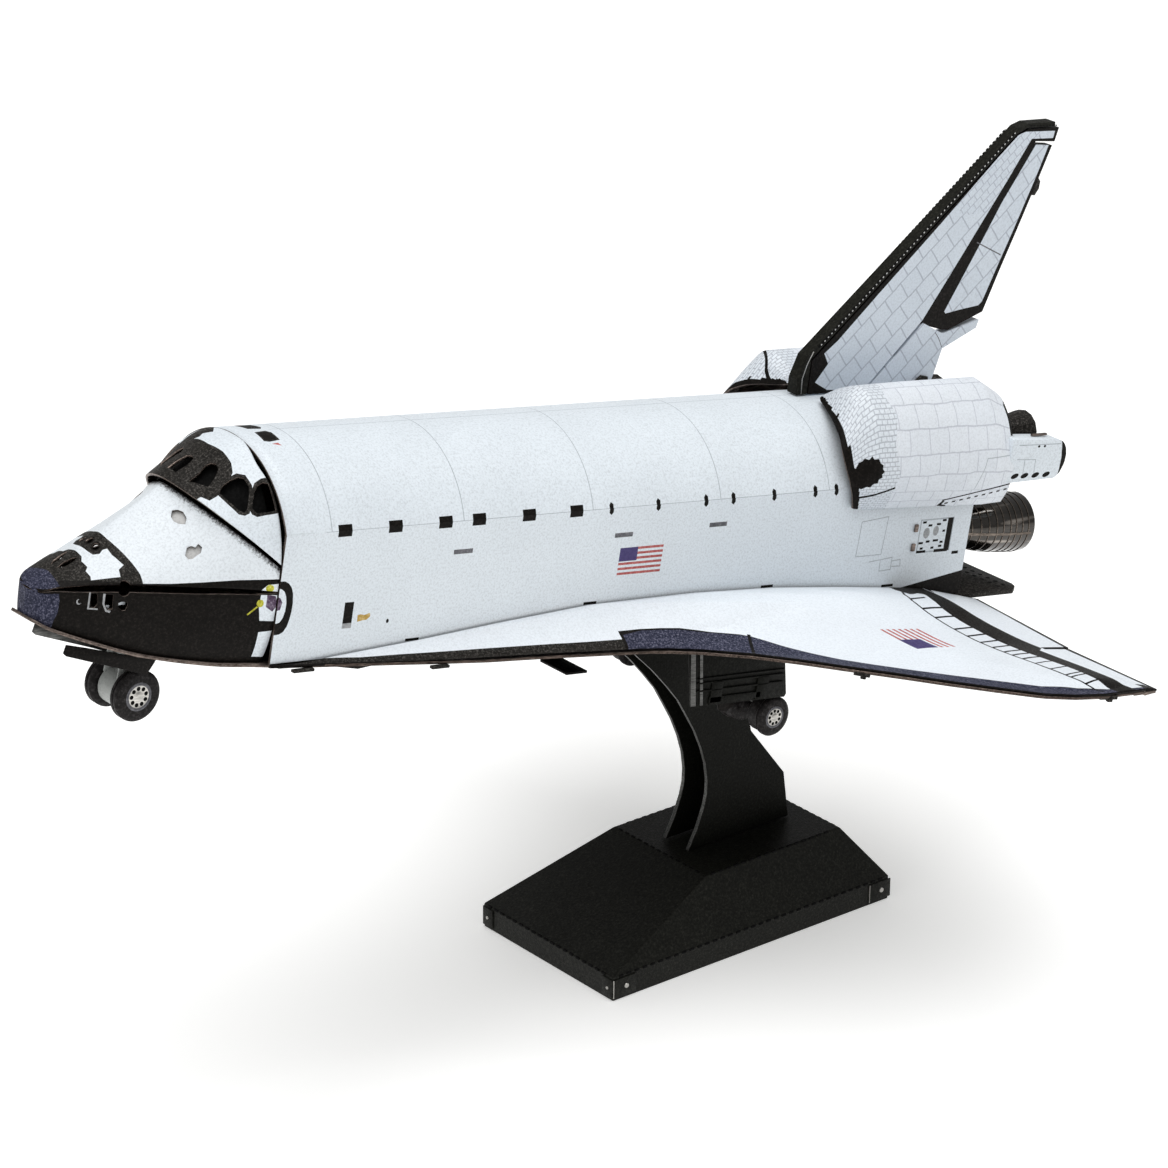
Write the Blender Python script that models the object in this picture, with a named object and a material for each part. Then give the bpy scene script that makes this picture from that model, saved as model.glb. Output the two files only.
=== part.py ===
"""Desk display model of a winged space shuttle, folded from thin printed sheet steel, on a
folded black stand.  Metres, +Z up, nose toward -X, the port wing toward -Y.  The origin is
the middle of the whole model's footprint, at the table.

The shuttle is drawn in a frame of its own (x aft from the front edge of the payload bay,
y to starboard, z up from the dorsal line) and is hung nose-up on the stand by one empty.
Lengths in the tables below are millimetres."""
import math

import bmesh
import bpy
from mathutils import Matrix, Vector

MM = 0.001

# Placing of the shuttle over the stand
PITCH = math.radians(10.15)          # nose-up lean of the whole shuttle
SHUTTLE_AT = (-32.377, 0.0, 60.9)    # dorsal point over the bay's front edge, mm

# Sheet
SHEET = 0.25                         # thickness of the printed skins
GAP = 0.12                           # clearance left between two sheets

# Payload bay tube
TUBE_R = 9.8                         # radius of the round back
HINGE_DEG = 69.6                     # door hinge lines, degrees from the top
BAY_FRONT = -4.75                    # front edge of the bay skin beside the cabin
LEAN = 0.3                           # how far forward that edge runs at the top
BODY_AFT = 76.6                      # rear edge of the skins
HALF_W = TUBE_R * math.sin(math.radians(HINGE_DEG))
HINGE_Z = -TUBE_R + TUBE_R * math.cos(math.radians(HINGE_DEG))
BELLY_Z = -18.9

# Nose
NOSE_TIP = -24.0
CUT_A = (-12.4, -2.9)                # canopy's lower edge seen from the side, x and z
CUT_B = (-4.9, -8.95)

# Stand
BASE_X0 = 29.68                      # front edge of the stand, in the shuttle's own x
BASE_L = 34.37
BASE_W = 19.47
SKIRT_H = 2.44
DECK_X0 = 13.56
DECK_X1 = 30.5
DECK_W = 13.49
DECK_H = 7.65
STAND_T = 0.5


def clear_scene():
    for ob in list(bpy.data.objects):
        bpy.data.objects.remove(ob, do_unlink=True)


def material(name, rgb, rough, metal):
    mat = bpy.data.materials.new(name)
    mat.use_nodes = True
    bsdf = mat.node_tree.nodes["Principled BSDF"]
    bsdf.inputs["Base Color"].default_value = (*rgb, 1.0)
    bsdf.inputs["Roughness"].default_value = rough
    bsdf.inputs["Metallic"].default_value = metal
    return mat


# look: (red, green, blue, roughness, metallic)
LOOKS = {
    "white": (0.72, 0.77, 0.84, 0.45, 0.2),
    "black": (0.018, 0.015, 0.013, 0.5, 0.3),
    "slate": (0.07, 0.07, 0.12, 0.5, 0.3),
    "steel": (0.35, 0.33, 0.31, 0.35, 1.0),
    "bronze": (0.09, 0.07, 0.055, 0.3, 1.0),
    "stand": (0.02, 0.02, 0.019, 0.45, 0.3),
}


def look_of(name, look):
    r, g, b, rough, metal = LOOKS[look]
    return material(name + "_finish", (r, g, b), rough, metal)


def finish(name, bm, look, parent=None, at=(0, 0, 0), smooth=None):
    """Turn a bmesh drawn in millimetres into an object of the model."""
    bmesh.ops.transform(bm, matrix=Matrix.Scale(MM, 4), verts=bm.verts)
    mesh = bpy.data.meshes.new(name)
    bm.to_mesh(mesh)
    bm.free()
    ob = bpy.data.objects.new(name, mesh)
    bpy.context.scene.collection.objects.link(ob)
    ob.data.materials.append(look_of(name, look))
    ob.location = [c * MM for c in at]
    if parent is not None:
        ob.parent = parent
    if smooth is not None:
        mesh.shade_smooth()
        mesh.set_sharp_from_angle(angle=math.radians(smooth))
    return ob


def closed(bm):
    bmesh.ops.recalc_face_normals(bm, faces=bm.faces)
    return bm


def grid_mesh(rows):
    """A surface through rows of points; its faces are turned away from the rows' own axis."""
    bm = bmesh.new()
    vs = [[bm.verts.new(p) for p in row] for row in rows]
    for a, b in zip(vs, vs[1:]):
        for i in range(len(a) - 1):
            bm.faces.new((a[i], a[i + 1], b[i + 1], b[i]))
    return bm


def face_away(bm, point):
    """Turn all faces the same way, so that they look away from a point."""
    bmesh.ops.recalc_face_normals(bm, faces=bm.faces)
    bm.normal_update()
    here = Vector(point)
    total = sum((f.calc_center_median() - here).dot(f.normal) * f.calc_area() for f in bm.faces)
    if total < 0:
        bmesh.ops.reverse_faces(bm, faces=bm.faces)
    return bm


def solidify(ob, thick, offset=-1.0):
    mod = ob.modifiers.new("sheet", 'SOLIDIFY')
    mod.thickness = thick * MM
    mod.offset = offset
    mod.use_even_offset = True
    return ob


def cut(ob, cutter):
    mod = ob.modifiers.new("cut", 'BOOLEAN')
    mod.operation = 'DIFFERENCE'
    mod.solver = 'EXACT'
    mod.object = cutter
    cutter.hide_render = True
    cutter.display_type = 'WIRE'


def prism(points, axis, lo, hi):
    """A closed prism: a polygon given in the two other axes, drawn out along one axis."""
    bm = bmesh.new()
    other = [i for i in range(3) if i != axis]
    ring = []
    for p in points:
        co = [0.0, 0.0, 0.0]
        co[other[0]] = p[0]
        co[other[1]] = p[1]
        co[axis] = lo
        ring.append(bm.verts.new(co))
    face = bm.faces.new(ring)
    out = bmesh.ops.extrude_face_region(bm, geom=[face])
    step = [0.0, 0.0, 0.0]
    step[axis] = hi - lo
    moved = [g for g in out["geom"] if isinstance(g, bmesh.types.BMVert)]
    bmesh.ops.translate(bm, vec=step, verts=moved)
    return closed(bm)


def box(x0, x1, y0, y1, z0, z1):
    return prism([(x0, y0), (x1, y0), (x1, y1), (x0, y1)], 2, z0, z1)


def join(*parts):
    """Put several bmeshes into one."""
    bm = bmesh.new()
    for part in parts:
        mesh = bpy.data.meshes.new("tmp")
        part.to_mesh(mesh)
        part.free()
        bm.from_mesh(mesh)
        bpy.data.meshes.remove(mesh)
    return bm


def turned(profile, axis, at, steps=32):
    """Spin a closed outline of (along, radius) pairs round an axis through a point."""
    bm = bmesh.new()
    ring = [bm.verts.new((a, 0.0, r)) for a, r in profile]
    edges = [bm.edges.new((ring[i], ring[(i + 1) % len(ring)])) for i in range(len(ring))]
    bmesh.ops.spin(bm, geom=ring + edges, cent=(0, 0, 0), axis=(1, 0, 0),
                   angle=math.tau, steps=steps, use_merge=True, use_duplicate=False)
    bmesh.ops.remove_doubles(bm, verts=bm.verts, dist=1e-4)
    aim = Vector(axis).normalized()
    turn = Vector((1, 0, 0)).rotation_difference(aim).to_matrix().to_4x4()
    bmesh.ops.transform(bm, matrix=Matrix.Translation(at) @ turn, verts=bm.verts)
    return closed(bm)


def along(table, x):
    """Straight-line reading of a table of (x, value) pairs."""
    if x <= table[0][0]:
        return table[0][1]
    for (xa, va), (xb, vb) in zip(table, table[1:]):
        if x <= xb:
            return va + (vb - va) * (x - xa) / (xb - xa)
    return table[-1][1]


def smooth_along(table, x):
    """Reading of the same kind of table, eased between its entries (cubic through neighbours)."""
    xs = [p[0] for p in table]
    vs = [p[1] for p in table]
    if x <= xs[0]:
        return vs[0]
    if x >= xs[-1]:
        return vs[-1]
    i = max(k for k in range(len(xs) - 1) if xs[k] <= x)

    def slope(k):
        if k == 0:
            return (vs[1] - vs[0]) / (xs[1] - xs[0])
        if k == len(xs) - 1:
            return (vs[-1] - vs[-2]) / (xs[-1] - xs[-2])
        return (vs[k + 1] - vs[k - 1]) / (xs[k + 1] - xs[k - 1])

    h = xs[i + 1] - xs[i]
    t = (x - xs[i]) / h
    a = (1 + 2 * t) * (1 - t) ** 2 * vs[i] + t * (1 - t) ** 2 * h * slope(i)
    b = t * t * (3 - 2 * t) * vs[i + 1] + t * t * (t - 1) * h * slope(i + 1)
    return a + b


clear_scene()
shuttle = bpy.data.objects.new("shuttle_frame", None)
bpy.context.scene.collection.objects.link(shuttle)
shuttle.location = [c * MM for c in SHUTTLE_AT]
shuttle.rotation_euler = (0.0, PITCH, 0.0)

# Nose shape, (x, value) in the shuttle's frame
NOSE_HALF = [(-24.0, 0.0), (-23.82, 1.2), (-23.4, 1.9), (-22.7, 2.35), (-21.5, 2.95), (-19.8, 3.75),
             (-17.3, 4.9), (-14.3, 6.0), (-11.3, 7.1), (-8.3, 7.95), (-5.2, 9.0), (-4.6, HALF_W)]
NOSE_TOP = [(-24.0, -12.4), (-23.5, -11.85), (-22.7, -11.35), (-21.3, -10.6), (-18.3, -8.75),
            (-15.3, -6.7), (-12.4, -4.75), (-10.5, -3.55), (-8.5, -2.3), (-6.5, -1.3), (-4.6, -0.8)]
CABIN_TOP = [(-13.0, -4.55), (-12.4, -4.3), (-10.5, -2.95), (-8.5, -1.85), (-6.5, -0.75), (-4.9, -0.28),
             (-3.0, 0.0)]
NOSE_LOW = [(-24.0, -14.1), (-22.9, -15.15), (-19.0, -16.4), (-15.0, -17.35), (-10.0, -17.9),
            (-3.0, -18.35), (20.0, -18.6)]
CHINE = [(-24.0, -12.65), (-22.8, -12.0), (-20.3, -11.72), (-17.3, -11.45), (-10.0, -11.4),
         (-3.0, -11.5)]


def power(x):
    """How square the nose section is: nearly a flat-sided roof ahead of the cabin."""
    return along([(-24.0, 1.6), (-20.0, 1.38), (-16.0, 1.27), (-12.4, 1.22), (-10.5, 1.36), (-8.5, 1.62),
                  (-6.5, 2.02), (-4.9, 2.22)], x)


def cabin_power(x):
    """The same for the canopy, which is rounder than the nose where it starts."""
    return along([(-12.4, 1.6), (-10.5, 1.66), (-8.5, 1.82), (-6.5, 2.13), (-4.9, 2.25)], x)


def section(x, top, base, half, count, shape=power):
    """Points over the back at one station, from the port edge to the starboard one."""
    n = 2.0 / shape(x)
    pts = []
    for k in range(count + 1):
        ang = math.pi * k / count
        c = math.cos(ang)
        s = math.sin(ang)
        y = -half * math.copysign(abs(c) ** n, c) if abs(c) > 1e-9 else 0.0
        z = base + (top - base) * (abs(s) ** n if abs(s) > 1e-9 else 0.0)
        pts.append((x, y, z))
    return pts


def spread(a, b, count, ease=1.0):
    return [a + (b - a) * (k / count) ** ease for k in range(count + 1)]


def all_geom(bm):
    return bm.verts[:] + bm.edges[:] + bm.faces[:]


# Nose, upper sheet: tip to cabin, cut along the canopy's lower edge
rows = []
for x in spread(NOSE_TIP + 0.1, -12.4, 12, 1.6) + spread(-11.6, BAY_FRONT - GAP, 9):
    rows.append(section(x, smooth_along(NOSE_TOP, x), along(CHINE, x) + GAP, smooth_along(NOSE_HALF, x), 26))
bm = grid_mesh(rows)
bm.verts.ensure_lookup_table()
bm.faces.new([bm.verts[i] for i in range(27)])
face_away(bm, (-8, 0, -11.6))
edge_dir = Vector((CUT_B[0] - CUT_A[0], 0, CUT_B[1] - CUT_A[1])).normalized()
edge_up = Vector((-edge_dir.z, 0, edge_dir.x))
bmesh.ops.bisect_plane(bm, geom=all_geom(bm), dist=1e-5,
                       plane_co=Vector((CUT_A[0], 0, CUT_A[1])) - edge_up * 0.25, plane_no=edge_up,
                       clear_outer=True)
nose_upper = solidify(finish("nose_upper_skin", bm, "white", shuttle, smooth=35), SHEET)

# Cabin canopy
rows = []
for t in spread(0.0, 1.0, 10):
    row = []
    for k in range(29):
        lean = LEAN * max(0.0, math.cos((k / 28 - 0.5) * math.pi * 90 / HINGE_DEG))
        x = -12.55 + (BAY_FRONT - GAP - lean + 12.55) * t
        row.append(section(x, smooth_along(CABIN_TOP, x) + 0.12, along(CHINE, x),
                           smooth_along(NOSE_HALF, x) + 0.12, 28, cabin_power)[k])
    rows.append(row)
bm = face_away(grid_mesh(rows), (-6, 0, -10))
bmesh.ops.bisect_plane(bm, geom=all_geom(bm), dist=1e-5,
                       plane_co=(CUT_A[0], 0, CUT_A[1]), plane_no=edge_up, clear_inner=True)
canopy = solidify(finish("canopy_skin", bm, "white", shuttle, smooth=35), SHEET)

# Nose, lower sheet: one band bent round the tip, from the slot down to the belly's lip
path = [(x, 1) for x in reversed(spread(NOSE_TIP, BAY_FRONT - GAP, 16, 1.7))]
path += [(x, -1) for x in spread(NOSE_TIP, BAY_FRONT - GAP, 16, 1.7)[1:]]
rows = []
for t in (0.0, 0.35, 0.65, 0.85, 1.0):
    row = []
    for x, sign in path:
        top = along(CHINE, x) - GAP
        low = smooth_along(NOSE_LOW, x) + 0.3
        half = smooth_along(NOSE_HALF, x) * (1 - 0.14 * t ** 3)
        row.append((x, -sign * half, top + (low - top) * t))
    rows.append(row)
bm = face_away(grid_mesh(rows), (-8, 0, -14))
nose_lower = solidify(finish("nose_lower_skin", bm, "black", shuttle, smooth=35), SHEET)

# Payload bay: the round back, from the cabin to the tail
rows = []
for k in range(0, 25):
    ang = math.radians(-HINGE_DEG + 2 * HINGE_DEG * k / 24)
    front = BAY_FRONT - LEAN * math.cos(ang * 90 / HINGE_DEG)
    y = TUBE_R * math.sin(ang)
    z = -TUBE_R + TUBE_R * math.cos(ang)
    rows.append([(front, y, z), (57.2, y, z), (BODY_AFT, y, z)])
bm = face_away(grid_mesh(rows), (40, 0, -10))
bay = solidify(finish("payload_bay_skin", bm, "white", shuttle, smooth=35), SHEET)

# Body sides
for tag, sign in (("port", -1), ("starboard", 1)):
    zs = [HINGE_Z - GAP, -10.0, -14.0, BELLY_Z + 0.35]
    rows = [[(x, sign * HALF_W, z) for x in (BAY_FRONT, 30.0, BODY_AFT)] for z in zs]
    rows[-1][-1] = (BODY_AFT, sign * HALF_W, -17.9)
    bm = face_away(grid_mesh(rows), (40, 0, -12))
    solidify(finish("side_skin_" + tag, bm, "white", shuttle), SHEET)

# Belly sheet, from the lip under the nose to the tail
BELLY_HALF = [(x, w * 0.9 + 0.15) for x, w in NOSE_HALF[:-1]] + [(-4.0, 8.8), (77.0, 8.8)]
BELLY_LINE = [(-25.0, -14.6), (-24.0, -14.95), (-22.9, -15.5), (-19.0, -16.64), (-15.0, -17.6),
              (-10.0, -18.15), (-4.9, -18.45), (5.0, BELLY_Z), (62.0, BELLY_Z), (77.0, -18.2)]
rows = []
for x in [-24.2, -24.0, -23.7, -23.2, -22.3, -21.0, -19.0, -16.0, -13.0, -10.0, -6.0, -3.0, 2.0, 6.0, 30.0,
          62.0, 69.0, 76.5]:
    half = smooth_along(BELLY_HALF, x + 0.5) if x < -15 else along(BELLY_HALF, x)
    half = max(half, 0.5)
    z = smooth_along(BELLY_LINE, x)
    rows.append([(x, half * t, z) for t in (-1.0, -0.6, 0.0, 0.6, 1.0)])
bm = face_away(grid_mesh(rows), (20, 0, 0))
solidify(finish("belly_skin", bm, "black", shuttle), SHEET)

# Rear bulkhead
ring = [(-8.8, -17.6), (8.8, -17.6), (8.8, -6.5)]
ring += [(9.35 * math.sin(math.radians(a)), -TUBE_R + 9.35 * math.cos(math.radians(a)))
         for a in range(66, -67, -12)]
ring += [(-8.8, -6.5)]
bm = prism(ring, 0, BODY_AFT - 0.3, BODY_AFT)
finish("rear_bulkhead", bm, "black", shuttle)

# Wings.  Leading edge as (x, distance from the middle)
LEAD = [(-5.0, 9.45), (0.5, 9.75), (9.0, 10.6), (15.9, 11.4), (22.9, 12.2), (28.9, 13.1), (32.9, 13.7),
        (35.3, 14.2), (38.6, 15.7), (42.3, 18.1), (45.5, 21.1), (48.5, 24.4), (51.6, 27.7), (54.6, 31.1),
        (57.7, 34.3), (60.6, 37.1), (63.4, 38.4), (66.3, 39.0)]
HINGE_X = 71.5
ROOT_Z = [(-5.0, -18.15), (-2.7, -17.9), (10.4, -16.9), (20.0, -16.0), (30.0, -15.2), (42.0, -15.05),
          (51.4, -15.3), (60.0, -15.9), (69.7, -16.75), (71.5, -16.95)]
WING_LOW = [(9.0, -18.9), (12.0, -18.75), (39.0, -17.3)]
FULLNESS = [(9.3, 1.0), (12.5, 0.94), (14.5, 0.82), (17.2, 0.6), (20.0, 0.44), (24.0, 0.31), (39.0, 0.25)]


def lead_x(y):
    """Where the leading edge is at a distance y from the middle."""
    return along([(w, x) for x, w in LEAD], y)


def wing_top(x, y):
    """Height of the upper skin: full at the root, thinning outboard and towards both edges."""
    low = along(WING_LOW, y)
    front = lead_x(y)
    if x <= front:
        return low + 0.55
    t = (x - front) / (HINGE_X - front)
    root_x = -5.0 + t * (HINGE_X + 5.0)
    full = along(ROOT_Z, root_x) - WING_LOW[0][1]
    return low + max(0.55, full * smooth_along(FULLNESS, y))


SPAN = [9.45, 10.2, 11.4, 12.6, 13.7, 14.9, 16.8, 19.5, 22.5, 26.0, 29.5, 33.0, 36.0, 38.0, 39.0]
CHORD = [0.0, 0.015, 0.05, 0.12, 0.22, 0.35, 0.5, 0.65, 0.8, 0.9, 1.0]
for tag, sign in (("port", -1), ("starboard", 1)):
    rows = []
    for y in SPAN:
        front = lead_x(y)
        rows.append([(front + t * (HINGE_X - front), sign * y, wing_top(front + t * (HINGE_X - front), y))
                     for t in CHORD])
    bm = face_away(grid_mesh(rows), (40, sign * 20, -40))
    solidify(finish("wing_upper_skin_" + tag, bm, "white", shuttle, smooth=35), SHEET)
    rows = []
    for y in [9.2] + SPAN[1:]:
        front = lead_x(y) - 0.25
        rows.append([(front + t * (HINGE_X - front), sign * y, along(WING_LOW, y)) for t in (0.0, 0.4, 1.0)])
    bm = face_away(grid_mesh(rows), (40, sign * 20, 0))
    solidify(finish("wing_lower_skin_" + tag, bm, "black", shuttle), SHEET)

# Elevons: (name, inner y, outer y, rear x at the inner end, rear x at the outer end)
ELEVONS = [("inner", 9.45, 25.6, 79.2, 75.2), ("outer", 26.0, 38.9, 74.9, 73.1)]
for tag, sign in (("port", -1), ("starboard", 1)):
    for part, y0, y1, r0, r1 in ELEVONS:
        bm = bmesh.new()
        ends = []
        for y, rear in ((y0, r0), (y1, r1)):
            low = along(WING_LOW, y)
            x0 = HINGE_X + 0.15
            top = wing_top(HINGE_X, y)
            ends.append([bm.verts.new((x0, sign * y, top)), bm.verts.new((rear, sign * y, low + 0.25)),
                         bm.verts.new((rear, sign * y, low - 0.1)), bm.verts.new((x0, sign * y, low - 0.25))])
        a, b = ends
        bm.faces.new(a)
        bm.faces.new(b)
        for k in range(4):
            bm.faces.new((a[k], a[(k + 1) % 4], b[(k + 1) % 4], b[k]))
        finish("elevon_" + part + "_" + tag, closed(bm), "white", shuttle)

# Body flap, a flat leaf with clipped corners
out = [(BODY_AFT + 0.2, -9.1), (84.2, -9.1), (85.4, -7.9), (85.4, 7.9), (84.2, 9.1), (BODY_AFT + 0.2, 9.1)]
bm = prism(out, 2, -18.6, -18.1)
finish("body_flap", bm, "black", shuttle)

# Fin: folded skin with its leading edge, rudder and the fairing below it.  x and z pairs
FIN = [(60.9, 0.15), (60.8, 3.4), (82.9, 24.65), (84.1, 25.2), (88.1, 25.35), (87.7, 24.15), (85.4, 24.05),
       (74.3, 6.75), (68.0, 0.15)]
bm = prism(FIN, 1, -0.62, 0.62)
finish("fin_panel", bm, "white", shuttle)
EDGE = [(59.4, 0.15), (59.3, 1.65), (60.0, 3.85), (82.8, 25.35), (84.0, 25.8), (88.0, 25.95), (88.0, 25.5),
        (84.05, 25.4), (82.75, 24.8), (60.65, 3.55), (60.75, 0.15)]
bm = prism(EDGE, 1, -0.65, 0.65)
finish("fin_leading_edge", bm, "black", shuttle)
RUDDER = [(74.7, 6.55), (85.6, 23.7), (87.8, 23.65), (87.5, 20.45), (82.4, 7.15), (78.0, 5.65), (77.0, 5.75)]
bm = prism(RUDDER, 1, -0.5, 0.5)
finish("rudder", bm, "white", shuttle)
FAIRING = [(68.4, 0.15), (74.4, 6.25), (76.5, 5.35), (77.8, 5.25), (81.9, 6.55), (81.7, 5.75), (77.6, 3.85),
           (77.2, 2.1), (76.7, 0.15)]
bm = prism(FAIRING, 1, -0.62, 0.62)
finish("fin_fairing", bm, "white", shuttle)

# Pods beside the fin.  The front edge hugs the round back; the rest are whole sections, (y, z) pairs
POD_FRONT = [(60.7, 2.6, 0.2), (60.4, 3.4, -0.05), (59.9, 4.6, -0.3), (59.3, 6.2, -0.8), (58.8, 7.8, -1.7),
             (58.6, 8.8, -2.9), (58.8, 9.4, -4.2), (59.2, 9.8, -5.5), (59.6, 9.9, -6.6), (59.9, 9.85, -7.4),
             (60.2, 9.75, -8.2)]
POD = [(60.9, [(2.3, 0.3), (2.95, 0.85), (4.2, 1.35), (5.9, 1.7), (7.5, 1.05), (9.0, -0.8), (9.75, -2.9),
               (10.25, -4.8), (10.3, -6.3), (10.05, -7.3), (9.72, -8.3)]),
       (62.0, [(2.1, 0.3), (2.8, 1.1), (4.2, 1.85), (6.0, 2.5), (7.6, 1.9), (9.2, 0.0), (10.15, -2.5),
               (10.6, -4.6), (10.5, -6.3), (10.15, -7.4), (9.72, -8.4)]),
       (68.0, [(1.9, 0.3), (2.6, 1.15), (4.2, 1.95), (6.0, 2.6), (7.7, 1.95), (9.3, 0.0), (10.3, -2.4),
               (10.75, -4.6), (10.6, -6.5), (10.2, -7.6), (9.72, -8.6)]),
       (77.0, [(1.9, 0.3), (2.6, 1.15), (4.2, 1.95), (6.0, 2.6), (7.7, 1.95), (9.3, 0.0), (10.3, -2.4),
               (10.75, -4.6), (10.6, -6.9), (10.2, -8.0), (9.72, -8.9)]),
       (79.6, [(1.95, -0.2), (2.6, 0.45), (4.2, 1.0), (6.0, 1.3), (7.6, 0.8), (9.1, -0.8), (10.1, -2.9),
               (10.65, -4.9), (10.5, -7.1), (10.15, -8.0), (9.72, -8.8)])]
for tag, sign in (("port", -1), ("starboard", 1)):
    rows = [[(x, sign * y, z) for x, y, z in POD_FRONT]]
    rows += [[(x, sign * y, z) for y, z in ring] for x, ring in POD]
    bm = face_away(grid_mesh(rows), (70, sign * 6, -3))
    solidify(finish("oms_pod_" + tag, bm, "white", shuttle, smooth=40), SHEET)
    out = [(79.9, -2.3), (85.1, -2.6), (85.9, -3.1), (86.3, -4.1), (86.2, -5.1), (85.8, -5.9), (85.1, -6.45),
           (79.9, -6.7)]
    bm = prism(out, 1, sign * 10.9, sign * 8.75)
    finish("thruster_box_" + tag, bm, "white", shuttle)
    wall = [(0.0, 1.2), (1.2, 1.3), (2.6, 1.6), (3.9, 1.9), (4.7, 2.0), (4.7, 1.75), (3.9, 1.65), (2.6, 1.35),
            (1.4, 1.05), (0.7, 0.0), (0.0, 0.0)]
    bm = turned(wall, (1, 0, 0.0), (79.9, sign * 6.2, -3.0))
    finish("orbital_nozzle_" + tag, bm, "black", shuttle, smooth=35)

# Main engines: (name, y, z, tilt up, share of the bell's full length)
ENGINES = [("upper", 0.0, -5.7, 0.03, 0.94), ("port", -4.4, -12.95, 0.0, 1.0),
           ("starboard", 4.4, -12.95, 0.0, 1.0)]
BELL = [(0.0, 1.4), (1.7, 1.65), (3.4, 2.1), (5.8, 2.6), (8.9, 2.87), (10.6, 2.92), (10.6, 2.65), (8.9, 2.6),
        (5.8, 2.33), (3.4, 1.83), (1.8, 1.35), (1.2, 0.0), (0.0, 0.0)]
for name, y, z, tilt, share in ENGINES:
    bm = turned([(a * share, r) for a, r in BELL], (1, 0, tilt), (BODY_AFT + 0.4, y, z))
    finish("main_engine_" + name, bm, "bronze", shuttle, smooth=35)

# Nose gear: doors, leg and the pair of wheels on their axle
NOSE_WHEEL = (-13.0, 0.0, -22.2)
WHEEL_R = 2.3
for tag, sign, shift in (("port", -1, -0.05), ("starboard", 1, 0.5)):
    out = [(-21.2, -16.75), (-19.1, -17.2), (-15.1, -18.15), (-11.8, -18.65), (-12.0, -19.1), (-12.7, -20.2),
           (-15.3, -19.4), (-21.4, -17.5)]
    bm = prism([(x + shift, z) for x, z in out], 1, sign * 2.9, sign * 2.68)
    finish("nose_gear_door_" + tag, bm, "black", shuttle)
bm = box(-13.7, -12.3, -0.6, 0.6, -21.65, -18.3)
finish("nose_gear_leg", bm, "steel", shuttle)


def wheels(name, at, radius, width, apart, axle_r):
    """Two wheels joined by their axle: one turned outline, spun round the axle."""
    near = -apart - width / 2
    far = -apart + width / 2
    out = [(near, 0.0), (near, radius * 0.86), (near + 0.2, radius), (far - 0.2, radius), (far, radius * 0.86),
           (far, axle_r)]
    out += [(-a, r) for a, r in reversed(out)]
    bm = turned(out, (0, 1, 0), (0, 0, 0))
    return finish(name, bm, "black", shuttle, at=at, smooth=35)


wheels("nose_wheels", NOSE_WHEEL, WHEEL_R, 1.2, 1.95, 0.4)

# Main gear: the door outboard of the wheels, the leg and the wheel pair
MAIN_AT = (51.4, 10.0, -26.7)
for tag, sign in (("port", -1), ("starboard", 1)):
    out = [(39.1, -18.95), (50.8, -18.95), (51.98, -24.6), (40.4, -24.55)]
    bm = prism(out, 1, sign * 13.15, sign * 13.4)
    finish("main_gear_door_" + tag, bm, "black", shuttle)
    bm = box(50.7, 52.1, sign * 9.6, sign * 10.4, -26.2, -19.25)
    finish("main_gear_leg_" + tag, bm, "steel", shuttle)
    wheels("main_wheels_" + tag, (MAIN_AT[0], sign * MAIN_AT[1], MAIN_AT[2]), 2.1, 1.0, 2.5, 0.35)

# Bracket folded down from the belly ahead of the post
out = [(1.95, -19.2), (1.95, -24.9), (-1.95, -24.9), (-1.95, -24.65), (1.7, -24.65), (1.7, -19.2)]
bm = prism(out, 0, 35.1, 37.6)
finish("belly_bracket", bm, "black", shuttle)

# Stand: a hollow four-sided foot with a level deck, and a post of two side plates and a web
X0 = BASE_X0 + SHUTTLE_AT[0]
corner = {}
for tag, x0, x1, w, z in (("floor", 0.0, BASE_L, BASE_W, 0.0), ("skirt", 0.0, BASE_L, BASE_W, SKIRT_H),
                          ("deck", DECK_X0, DECK_X1, DECK_W, DECK_H)):
    corner[tag] = [(X0 + x0, -w / 2, z), (X0 + x1, -w / 2, z), (X0 + x1, w / 2, z), (X0 + x0, w / 2, z)]
bm = bmesh.new()
rings = [[bm.verts.new(p) for p in corner[t]] for t in ("floor", "skirt", "deck")]
for a, b in zip(rings, rings[1:]):
    for k in range(4):
        bm.faces.new((a[k], a[(k + 1) % 4], b[(k + 1) % 4], b[k]))
bm.faces.new(rings[-1])
face_away(bm, (X0 + 18, 0, 3))
solidify(finish("stand_base", bm, "stand"), STAND_T)


def belly_height(x):
    """Height over the table of the belly sheet's underside at a world x, in mm."""
    own_x = (x - SHUTTLE_AT[0] - math.sin(PITCH) * BELLY_Z) / math.cos(PITCH)
    return SHUTTLE_AT[2] - math.sin(PITCH) * own_x + math.cos(PITCH) * BELLY_Z


# Post's edges in side view, x and height; the front one is a long hollow curve
POST_FRONT = [(1.7, 35.0), (6.2, 29.8), (10.0, 25.6), (12.4, 22.0), (14.3, 18.1), (15.1, 14.5), (14.75, 11.8),
              (12.85, DECK_H + 0.1)]
POST_REAR = [(25.45, DECK_H + 0.1), (24.75, 12.6), (20.45, 18.2), (19.55, 23.0), (19.75, 28.0), (20.65, 31.0)]
POST_HALF = 1.9
POST_T = 0.45
front = [(x, z) for x, z in POST_FRONT]
front[0] = (front[0][0], belly_height(front[0][0]) - 0.3)
rear = [(x, z) for x, z in POST_REAR]
rear[-1] = (rear[-1][0], belly_height(rear[-1][0]) - 0.3)
for tag, sign in (("port", -1), ("starboard", 1)):
    bm = prism(front + rear, 1, sign * POST_HALF, sign * (POST_HALF - POST_T))
    finish("stand_post_plate_" + tag, bm, "stand")
inner = [(x - 0.3, z) for x, z in rear]
bm = prism(inner + [(x - 0.5, z) for x, z in reversed(inner)], 1, -POST_HALF + POST_T + GAP,
           POST_HALF - POST_T - GAP)
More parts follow.
